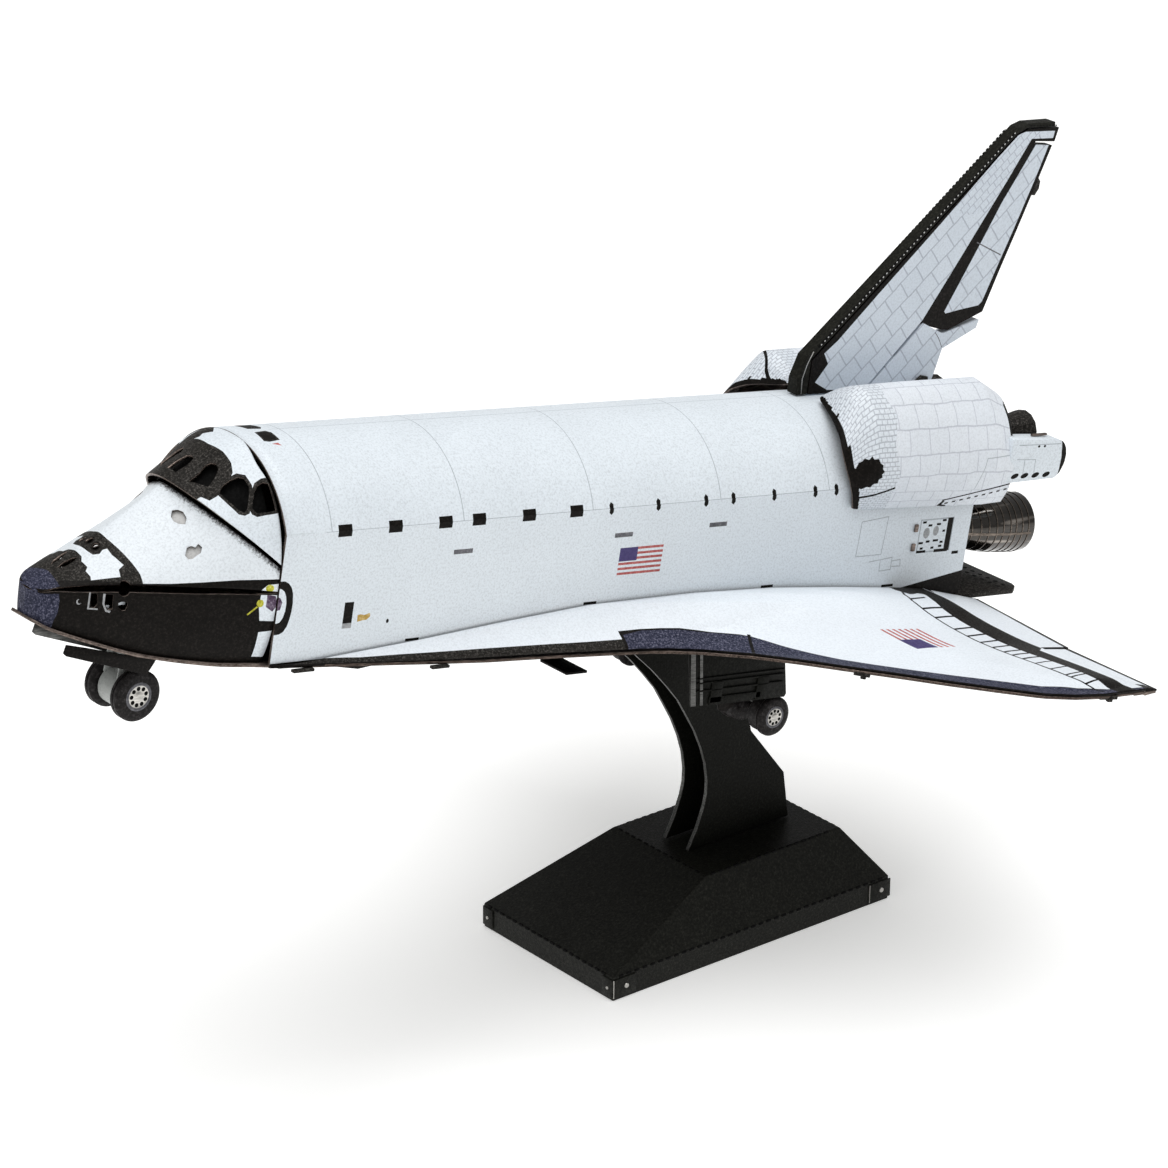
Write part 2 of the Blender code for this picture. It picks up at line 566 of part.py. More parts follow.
finish("stand_post_web", bm, "stand")
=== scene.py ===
"""Finish of the desk model of a winged space shuttle: thin printed sheet steel, folded and
tabbed together, on a folded black stand.  Lengths are millimetres until a piece is placed.

The shuttle's own frame has x aft from the bay's first door line, y to starboard and z up
from the dorsal line; PLACE carries it, nose-up, onto the stand."""
import math

import bmesh
import bpy
from mathutils import Matrix, Vector


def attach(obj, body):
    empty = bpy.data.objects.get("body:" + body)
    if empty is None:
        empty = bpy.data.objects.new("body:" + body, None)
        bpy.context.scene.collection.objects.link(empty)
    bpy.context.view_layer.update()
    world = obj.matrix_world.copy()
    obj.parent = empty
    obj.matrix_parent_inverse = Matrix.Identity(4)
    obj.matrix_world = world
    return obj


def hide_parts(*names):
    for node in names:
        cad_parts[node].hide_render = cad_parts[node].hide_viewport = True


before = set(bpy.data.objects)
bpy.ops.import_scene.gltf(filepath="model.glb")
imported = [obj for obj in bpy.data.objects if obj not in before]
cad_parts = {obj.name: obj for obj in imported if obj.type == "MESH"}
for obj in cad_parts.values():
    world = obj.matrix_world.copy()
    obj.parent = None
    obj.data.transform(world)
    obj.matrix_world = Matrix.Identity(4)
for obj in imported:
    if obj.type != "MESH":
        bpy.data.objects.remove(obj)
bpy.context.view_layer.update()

MM = 0.001
PITCH = math.radians(10.15)                          # nose-up lean on the stand
SHUTTLE_AT = Vector((-32.377, 0.0, 60.9))
OWN = Matrix.Translation(SHUTTLE_AT) @ Matrix.Rotation(PITCH, 4, 'Y')
PLACE = Matrix.Scale(MM, 4) @ OWN                    # shuttle's own millimetres to the table's metres
ON_TABLE = Matrix.Scale(MM, 4)

SHEET = 0.25                                         # steel
GAP = 0.12                                           # between neighbouring sheets
TUBE_R = 9.8                                         # the bay's round back
HINGE_DEG = 69.6                                     # its door hinges, from the top
HALF_W = TUBE_R * math.sin(math.radians(HINGE_DEG))
HINGE_Z = -TUBE_R + TUBE_R * math.cos(math.radians(HINGE_DEG))
NOSE_TIP, BAY_FRONT, BODY_AFT = -24.0, -4.75, 76.6
LEAN = 0.3                                           # bow of the bay's front edge
BELLY_Z = -18.9
CUT_A, CUT_B = (-12.4, -2.9), (-4.9, -8.95)          # canopy's lower edge, in x and z
HINGE_X = 71.5                                       # elevon hinge line
ROOT_Y, TIP_Y = 9.45, 39.0                           # wing
SIDES = (("port", -1), ("starboard", 1))
HINGE_BLOCKS = (1.45, 6.85, 12.3, 16.0, 21.6, 27.0)
HINGE_PINS = (31.0, 36.5, 42.2, 45.5, 50.5, 55.6, 58.25)


# ---------------------------------------------------------------- materials


def node(nt, kind, at=(0, 0), **settings):
    made = nt.nodes.new(kind)
    made.location = at
    for key, value in settings.items():
        setattr(made, key, value)
    return made


def own_place(nt, scale=(1, 1, 1), turn=(0, 0, 0)):
    """Object coordinates brought to the shuttle's own millimetres, then scaled or turned once more."""
    coords = node(nt, 'ShaderNodeTexCoord', (-1500, 0))
    frame_map = node(nt, 'ShaderNodeMapping', (-1300, 0))
    back = Matrix.Rotation(-PITCH, 3, 'Y')
    frame_map.inputs["Scale"].default_value = (1000, 1000, 1000)
    frame_map.inputs["Rotation"].default_value = (0, -PITCH, 0)
    frame_map.inputs["Location"].default_value = -(back @ SHUTTLE_AT)
    nt.links.new(coords.outputs["Object"], frame_map.inputs["Vector"])
    if scale == (1, 1, 1) and turn == (0, 0, 0):
        return frame_map.outputs["Vector"]
    last = node(nt, 'ShaderNodeMapping', (-1100, 0))
    last.inputs["Scale"].default_value = scale
    last.inputs["Rotation"].default_value = turn
    nt.links.new(frame_map.outputs["Vector"], last.inputs["Vector"])
    return last.outputs["Vector"]


def grain(nt, place, scale, detail=2.0, rough=0.5, at=(-900, 0)):
    noise = node(nt, 'ShaderNodeTexNoise', at)
    noise.inputs["Scale"].default_value = scale
    noise.inputs["Detail"].default_value = detail
    noise.inputs["Roughness"].default_value = rough
    nt.links.new(place, noise.inputs["Vector"])
    return noise.outputs["Fac"]


def ramp(nt, value, stops, at=(-600, 0)):
    made = node(nt, 'ShaderNodeValToRGB', at)
    while len(made.color_ramp.elements) < len(stops):
        made.color_ramp.elements.new(0.5)
    for element, (place, colour) in zip(made.color_ramp.elements, stops):
        element.position = place
        element.color = (*colour, 1.0)
    nt.links.new(value, made.inputs["Fac"])
    return made.outputs["Color"]


def grey(level):
    return (level, level, level)


def blend(nt, share, a, b, kind='MIX', at=(-350, 0)):
    """Mix two colours; each may be a socket or a plain colour, and so may the share be a number."""
    mix = node(nt, 'ShaderNodeMix', at, data_type='RGBA', blend_type=kind)
    for socket, value in ((mix.inputs[0], share), (mix.inputs[6], a), (mix.inputs[7], b)):
        if isinstance(value, bpy.types.NodeSocket):
            nt.links.new(value, socket)
        elif isinstance(value, (int, float)):
            socket.default_value = value
        else:
            socket.default_value = (*value, 1.0)
    return mix.outputs[2]


def reach(nt, value, lo, hi, to_lo=0.0, to_hi=1.0, at=(-600, 0)):
    made = node(nt, 'ShaderNodeMapRange', at)
    for name, number in (("From Min", lo), ("From Max", hi), ("To Min", to_lo), ("To Max", to_hi)):
        made.inputs[name].default_value = number
    nt.links.new(value, made.inputs["Value"])
    return made.outputs["Result"]


def maths(nt, kind, a, b=None, c=None, at=(-700, -200)):
    made = node(nt, 'ShaderNodeMath', at, operation=kind)
    for socket, value in zip(made.inputs, (a, b, c)):
        if isinstance(value, bpy.types.NodeSocket):
            nt.links.new(value, socket)
        elif value is not None:
            socket.default_value = value
    return made.outputs[0]


def bump(nt, height, shader, strength=0.3, distance=0.00002):
    made = node(nt, 'ShaderNodeBump', (-250, -350))
    made.inputs["Strength"].default_value = strength
    made.inputs["Distance"].default_value = distance
    nt.links.new(height, made.inputs["Height"])
    nt.links.new(made.outputs["Normal"], shader.inputs["Normal"])


def new_look(name, rough=0.5, metal=0.0, gloss=0.5):
    mat = bpy.data.materials.new(name)
    mat.use_nodes = True
    nt = mat.node_tree
    shader = nt.nodes["Principled BSDF"]
    shader.inputs["Roughness"].default_value = rough
    shader.inputs["Metallic"].default_value = metal
    shader.inputs["Specular IOR Level"].default_value = gloss
    return mat, nt, shader


def clouded(nt, colour, pattern, lo, hi, depth):
    """Dim a colour, down to depth, where a wide pattern is low."""
    shade = ramp(nt, pattern, [(lo, grey(depth)), (hi, grey(1.0))], (-600, -200))
    return blend(nt, 1.0, colour, shade, 'MULTIPLY')


def dress(nt, shader, colour, pattern, rough_lo, rough_hi, lift, height):
    """Wire a look's colour, and the gloss and relief that follow its fine pattern."""
    nt.links.new(colour, shader.inputs["Base Color"])
    rough = reach(nt, pattern, 0.3, 0.7, rough_lo, rough_hi, (-350, -500))
    nt.links.new(rough, shader.inputs["Roughness"])
    bump(nt, pattern, shader, lift, height)


def white_print(name, tint=(0.80, 0.86, 0.93), speck=0.5, tiles=None, shade=None):
    """White ink on brushed steel: fine speckled grain, a little cloudiness and worn specks.
    tiles adds printed seam lines, shade adds a speckled painted shade below an edge."""
    mat, nt, shader = new_look(name, rough=0.4, gloss=0.45)
    place = own_place(nt)
    fine = grain(nt, place, 5.0, 3.0, 0.7, (-900, 200))
    low = tuple(c * (0.93 - 0.12 * speck) for c in tint)
    high = tuple(min(1.0, c * 1.04) for c in tint)
    colour = ramp(nt, fine, [(0.34, low), (0.52, tint), (0.66, high)])
    colour = clouded(nt, colour, grain(nt, place, 0.16), 0.3, 0.7, 0.955)
    for layer in (tiles, shade):
        if layer:
            colour = layer(nt, colour)
    dress(nt, shader, colour, fine, 0.50, 0.34, 0.35, 0.00003)
    return mat


def dark_print(name, low, mid, high, rough=0.5, size=3.2, lift=0.35, gloss=0.085):
    """Dark ink on steel: dull ground with small paler specks where the metal's grain comes through."""
    mat, nt, shader = new_look(name, rough=rough, gloss=gloss)
    place = own_place(nt)
    fine = grain(nt, place, size, 4.0, 0.75, (-900, 200))
    colour = ramp(nt, fine, [(0.36, low), (0.52, mid), (0.70, high)])
    colour = clouded(nt, colour, grain(nt, place, 0.35, at=(-900, -100)), 0.3, 0.7, 0.8)
    dress(nt, shader, colour, fine, rough + 0.1, rough - 0.1, lift, 0.00004)
    return mat


def bare_metal(name, dark, pale, rough=0.35, along=(0.4, 4.0, 4.0), coat=0.0, painted_highlight=None):
    """Unprinted sheet: drawn grain, small scratches, patches of stain and, where their colour is
    given, pale lengthwise streaks of painted highlight."""
    mat, nt, shader = new_look(name, rough=rough, metal=1.0)
    shader.inputs["Coat Weight"].default_value = coat
    shader.inputs["Coat Roughness"].default_value = 0.09
    drawn = grain(nt, own_place(nt, along), 2.2, 4.0, 0.65, (-900, 200))
    stain = grain(nt, own_place(nt), 0.9, 3.0, 0.6, (-900, -100))
    colour = ramp(nt, drawn, [(0.3, dark), (0.62, pale)])
    colour = clouded(nt, colour, stain, 0.35, 0.65, 0.7)
    # pale lengthwise streaks of painted highlight, standing in for reflections along the metal
    if painted_highlight:
        highlight_runs = grain(nt, own_place(nt, (0.16, 1.0, 1.0)), 0.75, 1.0, 0.4, (-900, -400))
        colour = blend(nt, reach(nt, highlight_runs, 0.60, 0.68), colour, painted_highlight, at=(-250, -100))
    dress(nt, shader, colour, drawn, rough + 0.12, rough - 0.08, 0.25, 0.00002)
    return mat


def seam_tiles(length, height, dark, mortar, sway, turn=(0, 0, 0), shift=(0, 0, 0), flat=False):
    """Printed seams of a quilt of tiles, as a brick pattern over the shuttle's own x and z, or, if
    flat, over the pattern that was laid on the sheet."""
    def lay(nt, colour):
        if flat:
            place = node(nt, 'ShaderNodeUVMap', (-1300, -700), uv_map="lay").outputs["UV"]
        else:
            place = own_place(nt, (1, 1, 1), turn)
        move = node(nt, 'ShaderNodeMapping', (-1000, -700))
        move.inputs["Location"].default_value = shift
        nt.links.new(place, move.inputs["Vector"])
        wobble = node(nt, 'ShaderNodeTexNoise', (-1000, -900))
        wobble.inputs["Scale"].default_value = 0.5
        nt.links.new(place, wobble.inputs["Vector"])
        bent = node(nt, 'ShaderNodeVectorMath', (-800, -800), operation='MULTIPLY_ADD')
        nt.links.new(wobble.outputs["Color"], bent.inputs[0])
        bent.inputs[1].default_value = (sway, sway, sway)
        nt.links.new(move.outputs["Vector"], bent.inputs[2])
        brick = node(nt, 'ShaderNodeTexBrick', (-600, -800))
        for key, value in (("Color1", (1, 1, 1, 1)), ("Color2", (0.965, 0.97, 0.975, 1)),
                           ("Mortar", (dark, dark, dark * 1.04, 1)), ("Scale", 1.0),
                           ("Mortar Size", mortar), ("Mortar Smooth", 0.3), ("Brick Width", length),
                           ("Row Height", height)):
            brick.inputs[key].default_value = value
        nt.links.new(bent.outputs["Vector"], brick.inputs["Vector"])
        return blend(nt, 1.0, colour, brick.outputs["Color"], 'MULTIPLY', (-200, -500))
    return lay


# colour of a speckled painted shade, and how far its edge strays
SHADE_TONE, SHADE_RAG = (0.02, 0.018, 0.02), 0.9      # a speckled edge, and how far it strays for its depth


def speckled_shade(point, normal, depth):
    """Speckled dark fade away from a slanting line across the shuttle's own x and z: painted shade below a
    lip.
    """
    def lay(nt, colour):
        place = own_place(nt)
        dot = node(nt, 'ShaderNodeVectorMath', (-900, -700), operation='DOT_PRODUCT')
        dot.inputs[1].default_value = normal
        nt.links.new(place, dot.inputs[0])
        offset = sum(a * b for a, b in zip(point, normal))
        away = maths(nt, 'SUBTRACT', dot.outputs["Value"], offset, at=(-750, -700))
        specks = grain(nt, place, 4.6, 3.0, 0.8, (-900, -900))
        spread = maths(nt, 'MULTIPLY_ADD', specks, -SHADE_RAG * 2.0 * depth, SHADE_RAG * depth, at=(-700, -900))
        level = maths(nt, 'ADD', away, spread, at=(-600, -700))
        share = reach(nt, level, depth * 0.15, depth * 0.75, 1.0, 0.0, (-450, -700))
        return blend(nt, share, colour, SHADE_TONE, at=(-200, -700))
    return lay


WHITE = white_print("white_printed_steel", (0.77, 0.83, 0.88), 0.9)
# the nose's white carries a speckled painted shade below the canopy's lower edge
NOSE_WHITE = white_print("white_printed_nose", (0.79, 0.84, 0.88), 0.7, shade=speckled_shade(
    (-12.4, 0, -3.15), (-0.628, 0.0, -0.778), 0.75))
WING_WHITE = white_print("white_printed_wing", (0.83, 0.88, 0.93), 0.3)
PALE_STEEL = white_print("pale_unprinted_steel", (0.62, 0.62, 0.61), 0.8)
PALE_LEG = white_print("pale_grey_leg", (0.36, 0.375, 0.36), 1.2)

ALONG_FIN = {"turn": (math.radians(90), 0, math.radians(43.8)), "shift": (0.3, 0.4, 0)}
FIN_TINT = (0.66, 0.72, 0.79)
FIN_WHITE = white_print("quilted_white_fin", FIN_TINT,
                        tiles=seam_tiles(2.3, 1.9, 0.66, 0.085, 0.28, **ALONG_FIN))
FIN_BRICKS = white_print("bricked_white_fin", FIN_TINT,
                         tiles=seam_tiles(1.0, 0.72, 0.70, 0.06, 0.12, **ALONG_FIN))
POD_TILES = white_print("tiled_white_pod", (0.80, 0.84, 0.89), 0.4,
                        tiles=seam_tiles(2.5, 1.7, 0.72, 0.06, 0.35, shift=(0.2, 0.3, 0), flat=True))
POD_BRICKS = white_print("bricked_white_pod", (0.78, 0.83, 0.88), 0.7,
                         tiles=seam_tiles(0.66, 0.36, 0.62, 0.05, 0.2, flat=True))

BLACK = dark_print("black_printed_steel", (0.0035, 0.0028, 0.0022), (0.0065, 0.0052, 0.0042),
                   (0.022, 0.018, 0.016), size=4.5)
GREY_BLACK = dark_print("speckled_black_print", (0.008, 0.0072, 0.0062), (0.021, 0.019, 0.0165),
                        (0.13, 0.12, 0.11), size=5.5)
FOLD_BLACK = dark_print("olive_black_fold", (0.0060, 0.0060, 0.0045), (0.0115, 0.0115, 0.0085),
                        (0.034, 0.034, 0.027), size=4.2)
TILED_BLACK = dark_print("black_tiled_underside", (0.010, 0.009, 0.008), (0.018, 0.016, 0.015),
                         (0.05, 0.045, 0.04))
TYRE = dark_print("black_tyre_print", (0.010, 0.009, 0.009), (0.020, 0.018, 0.018),
                  (0.060, 0.055, 0.055), rough=0.45)
# the stand's one black comes in two copies: the foot's lighter one, and the post's darker one, which is
# painted shade
STAND_BLACK = dark_print("black_stand_finish", (0.0058, 0.0060, 0.0045), (0.0118, 0.0121, 0.0095),
                         (0.034, 0.034, 0.028), rough=0.40, size=4.2, lift=1.0, gloss=0.12)
SHADED_POST_BLACK = dark_print("black_post_painted_shade", (0.0035, 0.0036, 0.0027), (0.0068, 0.0070, 0.0054),
                        (0.018, 0.018, 0.015), rough=0.45, size=4.2, lift=0.8, gloss=0.06)
DEEP = dark_print("deep_shadow_black", grey(0.003), grey(0.005), grey(0.009), rough=0.8)

SLATE = dark_print("slate_blue_print", (0.012, 0.014, 0.028), (0.038, 0.041, 0.072), (0.22, 0.22, 0.30),
                   size=5.5)
FAINT = dark_print("faint_grey_line", (0.42, 0.46, 0.50), (0.50, 0.54, 0.58), (0.58, 0.62, 0.66))
GREY_INK = dark_print("grey_ink", (0.10, 0.10, 0.11), (0.15, 0.15, 0.165), (0.24, 0.24, 0.26))
PALE_INK = dark_print("pale_grey_ink", (0.30, 0.31, 0.32), (0.40, 0.41, 0.42), (0.52, 0.53, 0.54))
OCHRE = dark_print("ochre_ink", (0.42, 0.27, 0.06), (0.56, 0.38, 0.12), (0.72, 0.56, 0.28))
YELLOW = dark_print("yellow_ink", (0.35, 0.32, 0.03), (0.60, 0.58, 0.06), (0.80, 0.78, 0.30))
PLUM = dark_print("plum_ink", (0.05, 0.03, 0.06), (0.12, 0.08, 0.13), (0.35, 0.30, 0.38))
RED = dark_print("red_ink", (0.38, 0.08, 0.08), (0.52, 0.14, 0.13), (0.66, 0.30, 0.28))
BLUE = dark_print("violet_blue_ink", (0.070, 0.055, 0.16), (0.085, 0.068, 0.19), (0.10, 0.085, 0.22))

CUT_EDGE = bare_metal("cut_steel_edge", (0.05, 0.038, 0.032), (0.30, 0.24, 0.21), 0.42)
# a darker copy of the cut steel edge, for the lower wing sheet's rim under the leading edge: painted shade
SHADED_EDGE = bare_metal("shaded_steel_edge", (0.02, 0.016, 0.014), (0.17, 0.13, 0.11), 0.45)
STAND_EDGE = bare_metal("worn_stand_edge", (0.02, 0.02, 0.019), (0.12, 0.12, 0.115), 0.38)
BARE = bare_metal("bare_steel", (0.42, 0.41, 0.39), (0.66, 0.64, 0.60), 0.32)
BARE_GREY = bare_metal("grey_steel_fold", (0.16, 0.165, 0.16), (0.34, 0.35, 0.34), 0.34)
GUN_GREY = bare_metal("dark_grey_steel", (0.05, 0.05, 0.048), (0.14, 0.14, 0.135), 0.36)
HOOP = bare_metal("bright_bronze_hoop", (0.05, 0.042, 0.034), (0.24, 0.20, 0.17), 0.28)
# the engine bells' dark bronze, with pale lengthwise streaks of painted highlight
BRONZE = bare_metal("smoked_bronze_steel_painted_highlights", (0.008, 0.0065, 0.005), (0.040, 0.032, 0.024), 0.16,
                    (0.15, 5.0, 5.0), coat=1.0, painted_highlight=(0.36, 0.32, 0.28))


# ---------------------------------------------------------------- sheet work


def along(table, x):
    if x <= table[0][0]:
        return table[0][1]
    for (xa, va), (xb, vb) in zip(table, table[1:]):
        if x <= xb:
            return va + (vb - va) * (x - xa) / (xb - xa)
    return table[-1][1]


def eased(table, x):
    """Reading of a table, eased between its entries."""
    xs = [p[0] for p in table]
    vs = [p[1] for p in table]
    if x <= xs[0]:
        return vs[0]
    if x >= xs[-1]:
        return vs[-1]
    i = max(k for k in range(len(xs) - 1) if xs[k] <= x)

    def slope(k):
        if k == 0:
            return (vs[1] - vs[0]) / (xs[1] - xs[0])
        if k == len(xs) - 1:
            return (vs[-1] - vs[-2]) / (xs[-1] - xs[-2])
        return (vs[k + 1] - vs[k - 1]) / (xs[k + 1] - xs[k - 1])

    h = xs[i + 1] - xs[i]
    t = (x - xs[i]) / h
    return ((1 + 2 * t) * (1 - t) ** 2 * vs[i] + t * (1 - t) ** 2 * h * slope(i)
            + t * t * (3 - 2 * t) * vs[i + 1] + t * t * (t - 1) * h * slope(i + 1))


def sheet(nx, ny, shape, girth=None):
    """A level grid bent to shape, which takes the two shares, 0 to 1, along and across it.
    girth, where given, lays a flat pattern on the sheet in millimetres: x along, the way round across."""
    bm = bmesh.new()
    bmesh.ops.create_grid(bm, x_segments=nx, y_segments=ny, size=0.5)
    shares = {v: (min(1.0, max(0.0, v.co.x + 0.5)), min(1.0, max(0.0, v.co.y + 0.5))) for v in bm.verts}
    for v, (a, b) in shares.items():
        v.co = Vector(shape(a, b))
    if girth:
        lay = bm.loops.layers.uv.new("lay")
        for f in bm.faces:
            for loop in f.loops:
                loop[lay].uv = (loop.vert.co.x, shares[loop.vert][1] * girth)
    return bm


def all_of(bm):
    return bm.verts[:] + bm.edges[:] + bm.faces[:]


def face_away(bm, point):
    bmesh.ops.recalc_face_normals(bm, faces=bm.faces)
    bm.normal_update()
    here = Vector(point)
    if sum((f.calc_center_median() - here).dot(f.normal) * f.calc_area() for f in bm.faces) < 0:
        bmesh.ops.reverse_faces(bm, faces=bm.faces)
    return bm


def inside(p, outline):
    hit = False
    for (ax, ay), (bx, by) in zip(outline, outline[1:] + outline[:1]):
        if (ay > p[1]) != (by > p[1]) and p[0] < (bx - ax) * (p[1] - ay) / (by - ay) + ax:
            hit = not hit
    return hit


def mark(bm, outline, view, slot, only=None):
    """Print an outline on a sheet, or cut it out where slot is None.  view is "side", whose
    outline is in x and z, or "top", in x and y.  only keeps to the faces that it says yes to."""
    a, b = (0, 2) if view == "side" else (0, 1)
    lo = [min(p[k] for p in outline) - 0.02 for k in (0, 1)]
    hi = [max(p[k] for p in outline) + 0.02 for k in (0, 1)]
    faces = []
    for f in bm.faces:
        us = [v.co[a] for v in f.verts]
        vs = [v.co[b] for v in f.verts]
        if max(us) > lo[0] and min(us) < hi[0] and max(vs) > lo[1] and min(vs) < hi[1]:
            if only is None or only(f.calc_center_median()):
                faces.append(f)
    if not faces:
        return
    geom = list({e for f in faces for e in f.edges}) + list({v for f in faces for v in f.verts}) + faces
    for p, q in zip(outline, outline[1:] + outline[:1]):
        normal = Vector((0, 0, 0))
        normal[a] = q[1] - p[1]
        normal[b] = -(q[0] - p[0])
        if normal.length < 1e-6:
            continue
        co = Vector((0, 0, 0))
        co[a], co[b] = p
        geom = bmesh.ops.bisect_plane(bm, geom=geom, dist=1e-4, plane_co=co,
                                      plane_no=normal.normalized())["geom"]
    picked = [g for g in geom if isinstance(g, bmesh.types.BMFace)]
    picked = [f for f in picked if inside([f.calc_center_median()[k] for k in (a, b)], outline)]
    if slot is None:
        bmesh.ops.delete(bm, geom=picked, context='FACES')
    else:
        for f in picked:
            f.material_index = slot


def marks(bm, view, jobs, only=None):
    """Print several outlines in turn, each job a slot and its outline."""
    for slot, outline in jobs:
        mark(bm, outline, view, slot, only)


def strokes(bm, points, width, view, slot, only=None):
    """A printed line through points."""
    half = width / 2
    for (ax, ay), (bx, by) in zip(points, points[1:]):
        d = Vector((bx - ax, by - ay)).normalized()
        n = Vector((-d.y, d.x)) * half
        d = d * half * 0.9
        mark(bm, [(ax - d.x + n.x, ay - d.y + n.y), (bx + d.x + n.x, by + d.y + n.y),
                  (bx + d.x - n.x, by + d.y - n.y), (ax - d.x - n.x, ay - d.y - n.y)], view, slot, only)


def on_side(side, least=0.0):
    """Test for the faces on one side of the middle, further out than least."""
    return lambda c: c.y * side > least


def to_side(side, points):
    """A top outline drawn for starboard, put on a side."""
    return [(x, side * y) for x, y in points]


def both(port):
    """A top outline drawn for the port half, from the middle line out and back, made whole."""
    return port + [(x, -y) for x, y in reversed(port) if abs(y) > 1e-6]


def round_outline(x, z, rx, rz=None, count=12, turn=0.0):
    rz = rx if rz is None else rz
    c, s = math.cos(turn), math.sin(turn)
    pts = []
    for k in range(count):
        u = rx * math.cos(math.tau * (k + 0.5) / count)
        v = rz * math.sin(math.tau * (k + 0.5) / count)
        pts.append((x + c * u - s * v, z + s * u + c * v))
    return pts


def rect(x0, x1, z0, z1):
    return [(x0, z0), (x1, z0), (x1, z1), (x0, z1)]


def place(name, bm, looks, stands_for=(), body="model", thick=None, smooth=35, where=PLACE, slot=None,
          bevel=None):
    """Turn a bmesh into a finished piece: placed, clothed, sheeted and riding its body.  The
    last of looks is the cut edge of a sheet; smooth None leaves every fold sharp."""
    bmesh.ops.transform(bm, matrix=where, verts=bm.verts)
    mesh = bpy.data.meshes.new(name)
    bm.to_mesh(mesh)
    bm.free()
    ob = bpy.data.objects.new(name, mesh)
    bpy.context.scene.collection.objects.link(ob)
    for look in looks:
        mesh.materials.append(look)
    if thick:
        mod = ob.modifiers.new("sheet", 'SOLIDIFY')
        mod.thickness = thick * MM
        mod.offset = -1.0
        mod.use_even_offset = True
        mod.material_offset = mod.material_offset_rim = 20      # clamped to the last look
    if bevel:
        mod = ob.modifiers.new("worn_edge", 'BEVEL')
        mod.width = bevel * MM
        mod.segments = 2
        mod.limit_method = 'ANGLE'
        mod.angle_limit = math.radians(40)
        mod.harden_normals = False
    if smooth is not None:
        mesh.shade_smooth()
        mesh.set_sharp_from_angle(angle=math.radians(smooth))
    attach(ob, body)
    if stands_for:
        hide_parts(*stands_for)
    return ob


def prism(points, axis, lo, hi):
    bm = bmesh.new()
    other = [i for i in range(3) if i != axis]
    ring = []
    for p in points:
        co = [0.0, 0.0, 0.0]
        co[other[0]], co[other[1]] = p
        co[axis] = lo
        ring.append(bm.verts.new(co))
    face = bm.faces.new(ring)
    out = bmesh.ops.extrude_face_region(bm, geom=[face])
    step = [0.0, 0.0, 0.0]
    step[axis] = hi - lo
    bmesh.ops.translate(bm, vec=step, verts=[g for g in out["geom"] if isinstance(g, bmesh.types.BMVert)])
    bmesh.ops.recalc_face_normals(bm, faces=bm.faces)
    return bm


def block(*ends):
    """A box from x0, x1, y0, y1, z0 and z1; the two ends of a pair may come in either order."""
    pairs = [sorted(ends[k:k + 2]) for k in (0, 2, 4)]
    bm = bmesh.new()
    bmesh.ops.create_cube(bm, size=1.0)
    bmesh.ops.scale(bm, vec=[b - a for a, b in pairs], verts=bm.verts)
    bmesh.ops.translate(bm, vec=[(a + b) / 2 for a, b in pairs], verts=bm.verts)
    return bm


def add(bm, part, slot=None):
    """Put another bmesh into bm, with its faces in one slot."""
    if slot is not None:
        for f in part.faces:
            f.material_index = slot
    mesh = bpy.data.meshes.new("tmp")
    part.to_mesh(mesh)
    part.free()
    bm.from_mesh(mesh)
    bpy.data.meshes.remove(mesh)
    return bm


def rounded(bm, width, segments=2):
    bmesh.ops.bevel(bm, geom=bm.edges[:], offset=width, offset_type='OFFSET', affect='EDGES',
                    segments=segments, profile=0.5, material=-1)
    return bm


def turned(profile, steps=32, bands=None):
    """Spin a closed outline of (along, radius) pairs round the x axis.  bands pairs a test, on
    a face's place along and its radius, with a slot."""
    bm = bmesh.new()
    ring = [bm.verts.new((a, 0.0, r)) for a, r in profile]
    edges = [bm.edges.new((ring[i], ring[(i + 1) % len(ring)])) for i in range(len(ring))]
    bmesh.ops.spin(bm, geom=ring + edges, cent=(0, 0, 0), axis=(1, 0, 0), angle=math.tau, steps=steps,
                   use_merge=True, use_duplicate=False)
    bmesh.ops.remove_doubles(bm, verts=bm.verts, dist=1e-4)
    bmesh.ops.recalc_face_normals(bm, faces=bm.faces)
    for test, slot in (bands or ()):
        for f in bm.faces:
            c = f.calc_center_median()
            if test(c.x, math.hypot(c.y, c.z)):
                f.material_index = slot
    return bm


def point_to(bm, axis, at):
    turn = Vector((1, 0, 0)).rotation_difference(Vector(axis).normalized()).to_matrix().to_4x4()
    bmesh.ops.transform(bm, matrix=Matrix.Translation(at) @ turn, verts=bm.verts)
    return bm


def quad(bm, side, out, points, slot=0):
    """A flat patch of print, out millimetres from the middle plane, faced outwards."""
    f = bm.faces.new([bm.verts.new((x, side * out, z)) for x, z in points])
    f.material_index = slot
    f.normal_update()
    if f.normal.y * side < 0:
        f.normal_flip()


# ---------------------------------------------------------------- nose and cabin


NOSE_HALF = [(-24.0, 0.0), (-23.82, 1.2), (-23.4, 1.9), (-22.7, 2.35), (-21.5, 2.95), (-19.8, 3.75),
             (-17.3, 4.9), (-14.3, 6.0), (-11.3, 7.1), (-8.3, 7.95), (-5.2, 9.0), (-4.6, HALF_W)]
NOSE_TOP = [(-24.0, -12.4), (-23.5, -11.85), (-22.7, -11.35), (-21.3, -10.6), (-18.3, -8.75), (-15.3, -6.7),
            (-12.4, -4.75), (-10.5, -3.55), (-8.5, -2.3), (-6.5, -1.3), (-4.6, -0.8)]
CABIN_TOP = [(-13.0, -4.55), (-12.4, -4.3), (-10.5, -2.95), (-8.5, -1.85), (-6.5, -0.68), (-4.9, -0.14),
             (-3.0, 0.0)]
NOSE_LOW = [(-24.0, -14.1), (-22.9, -15.15), (-19.0, -16.4), (-15.0, -17.35), (-10.0, -17.9),
            (-3.0, -18.35), (20.0, -18.6)]
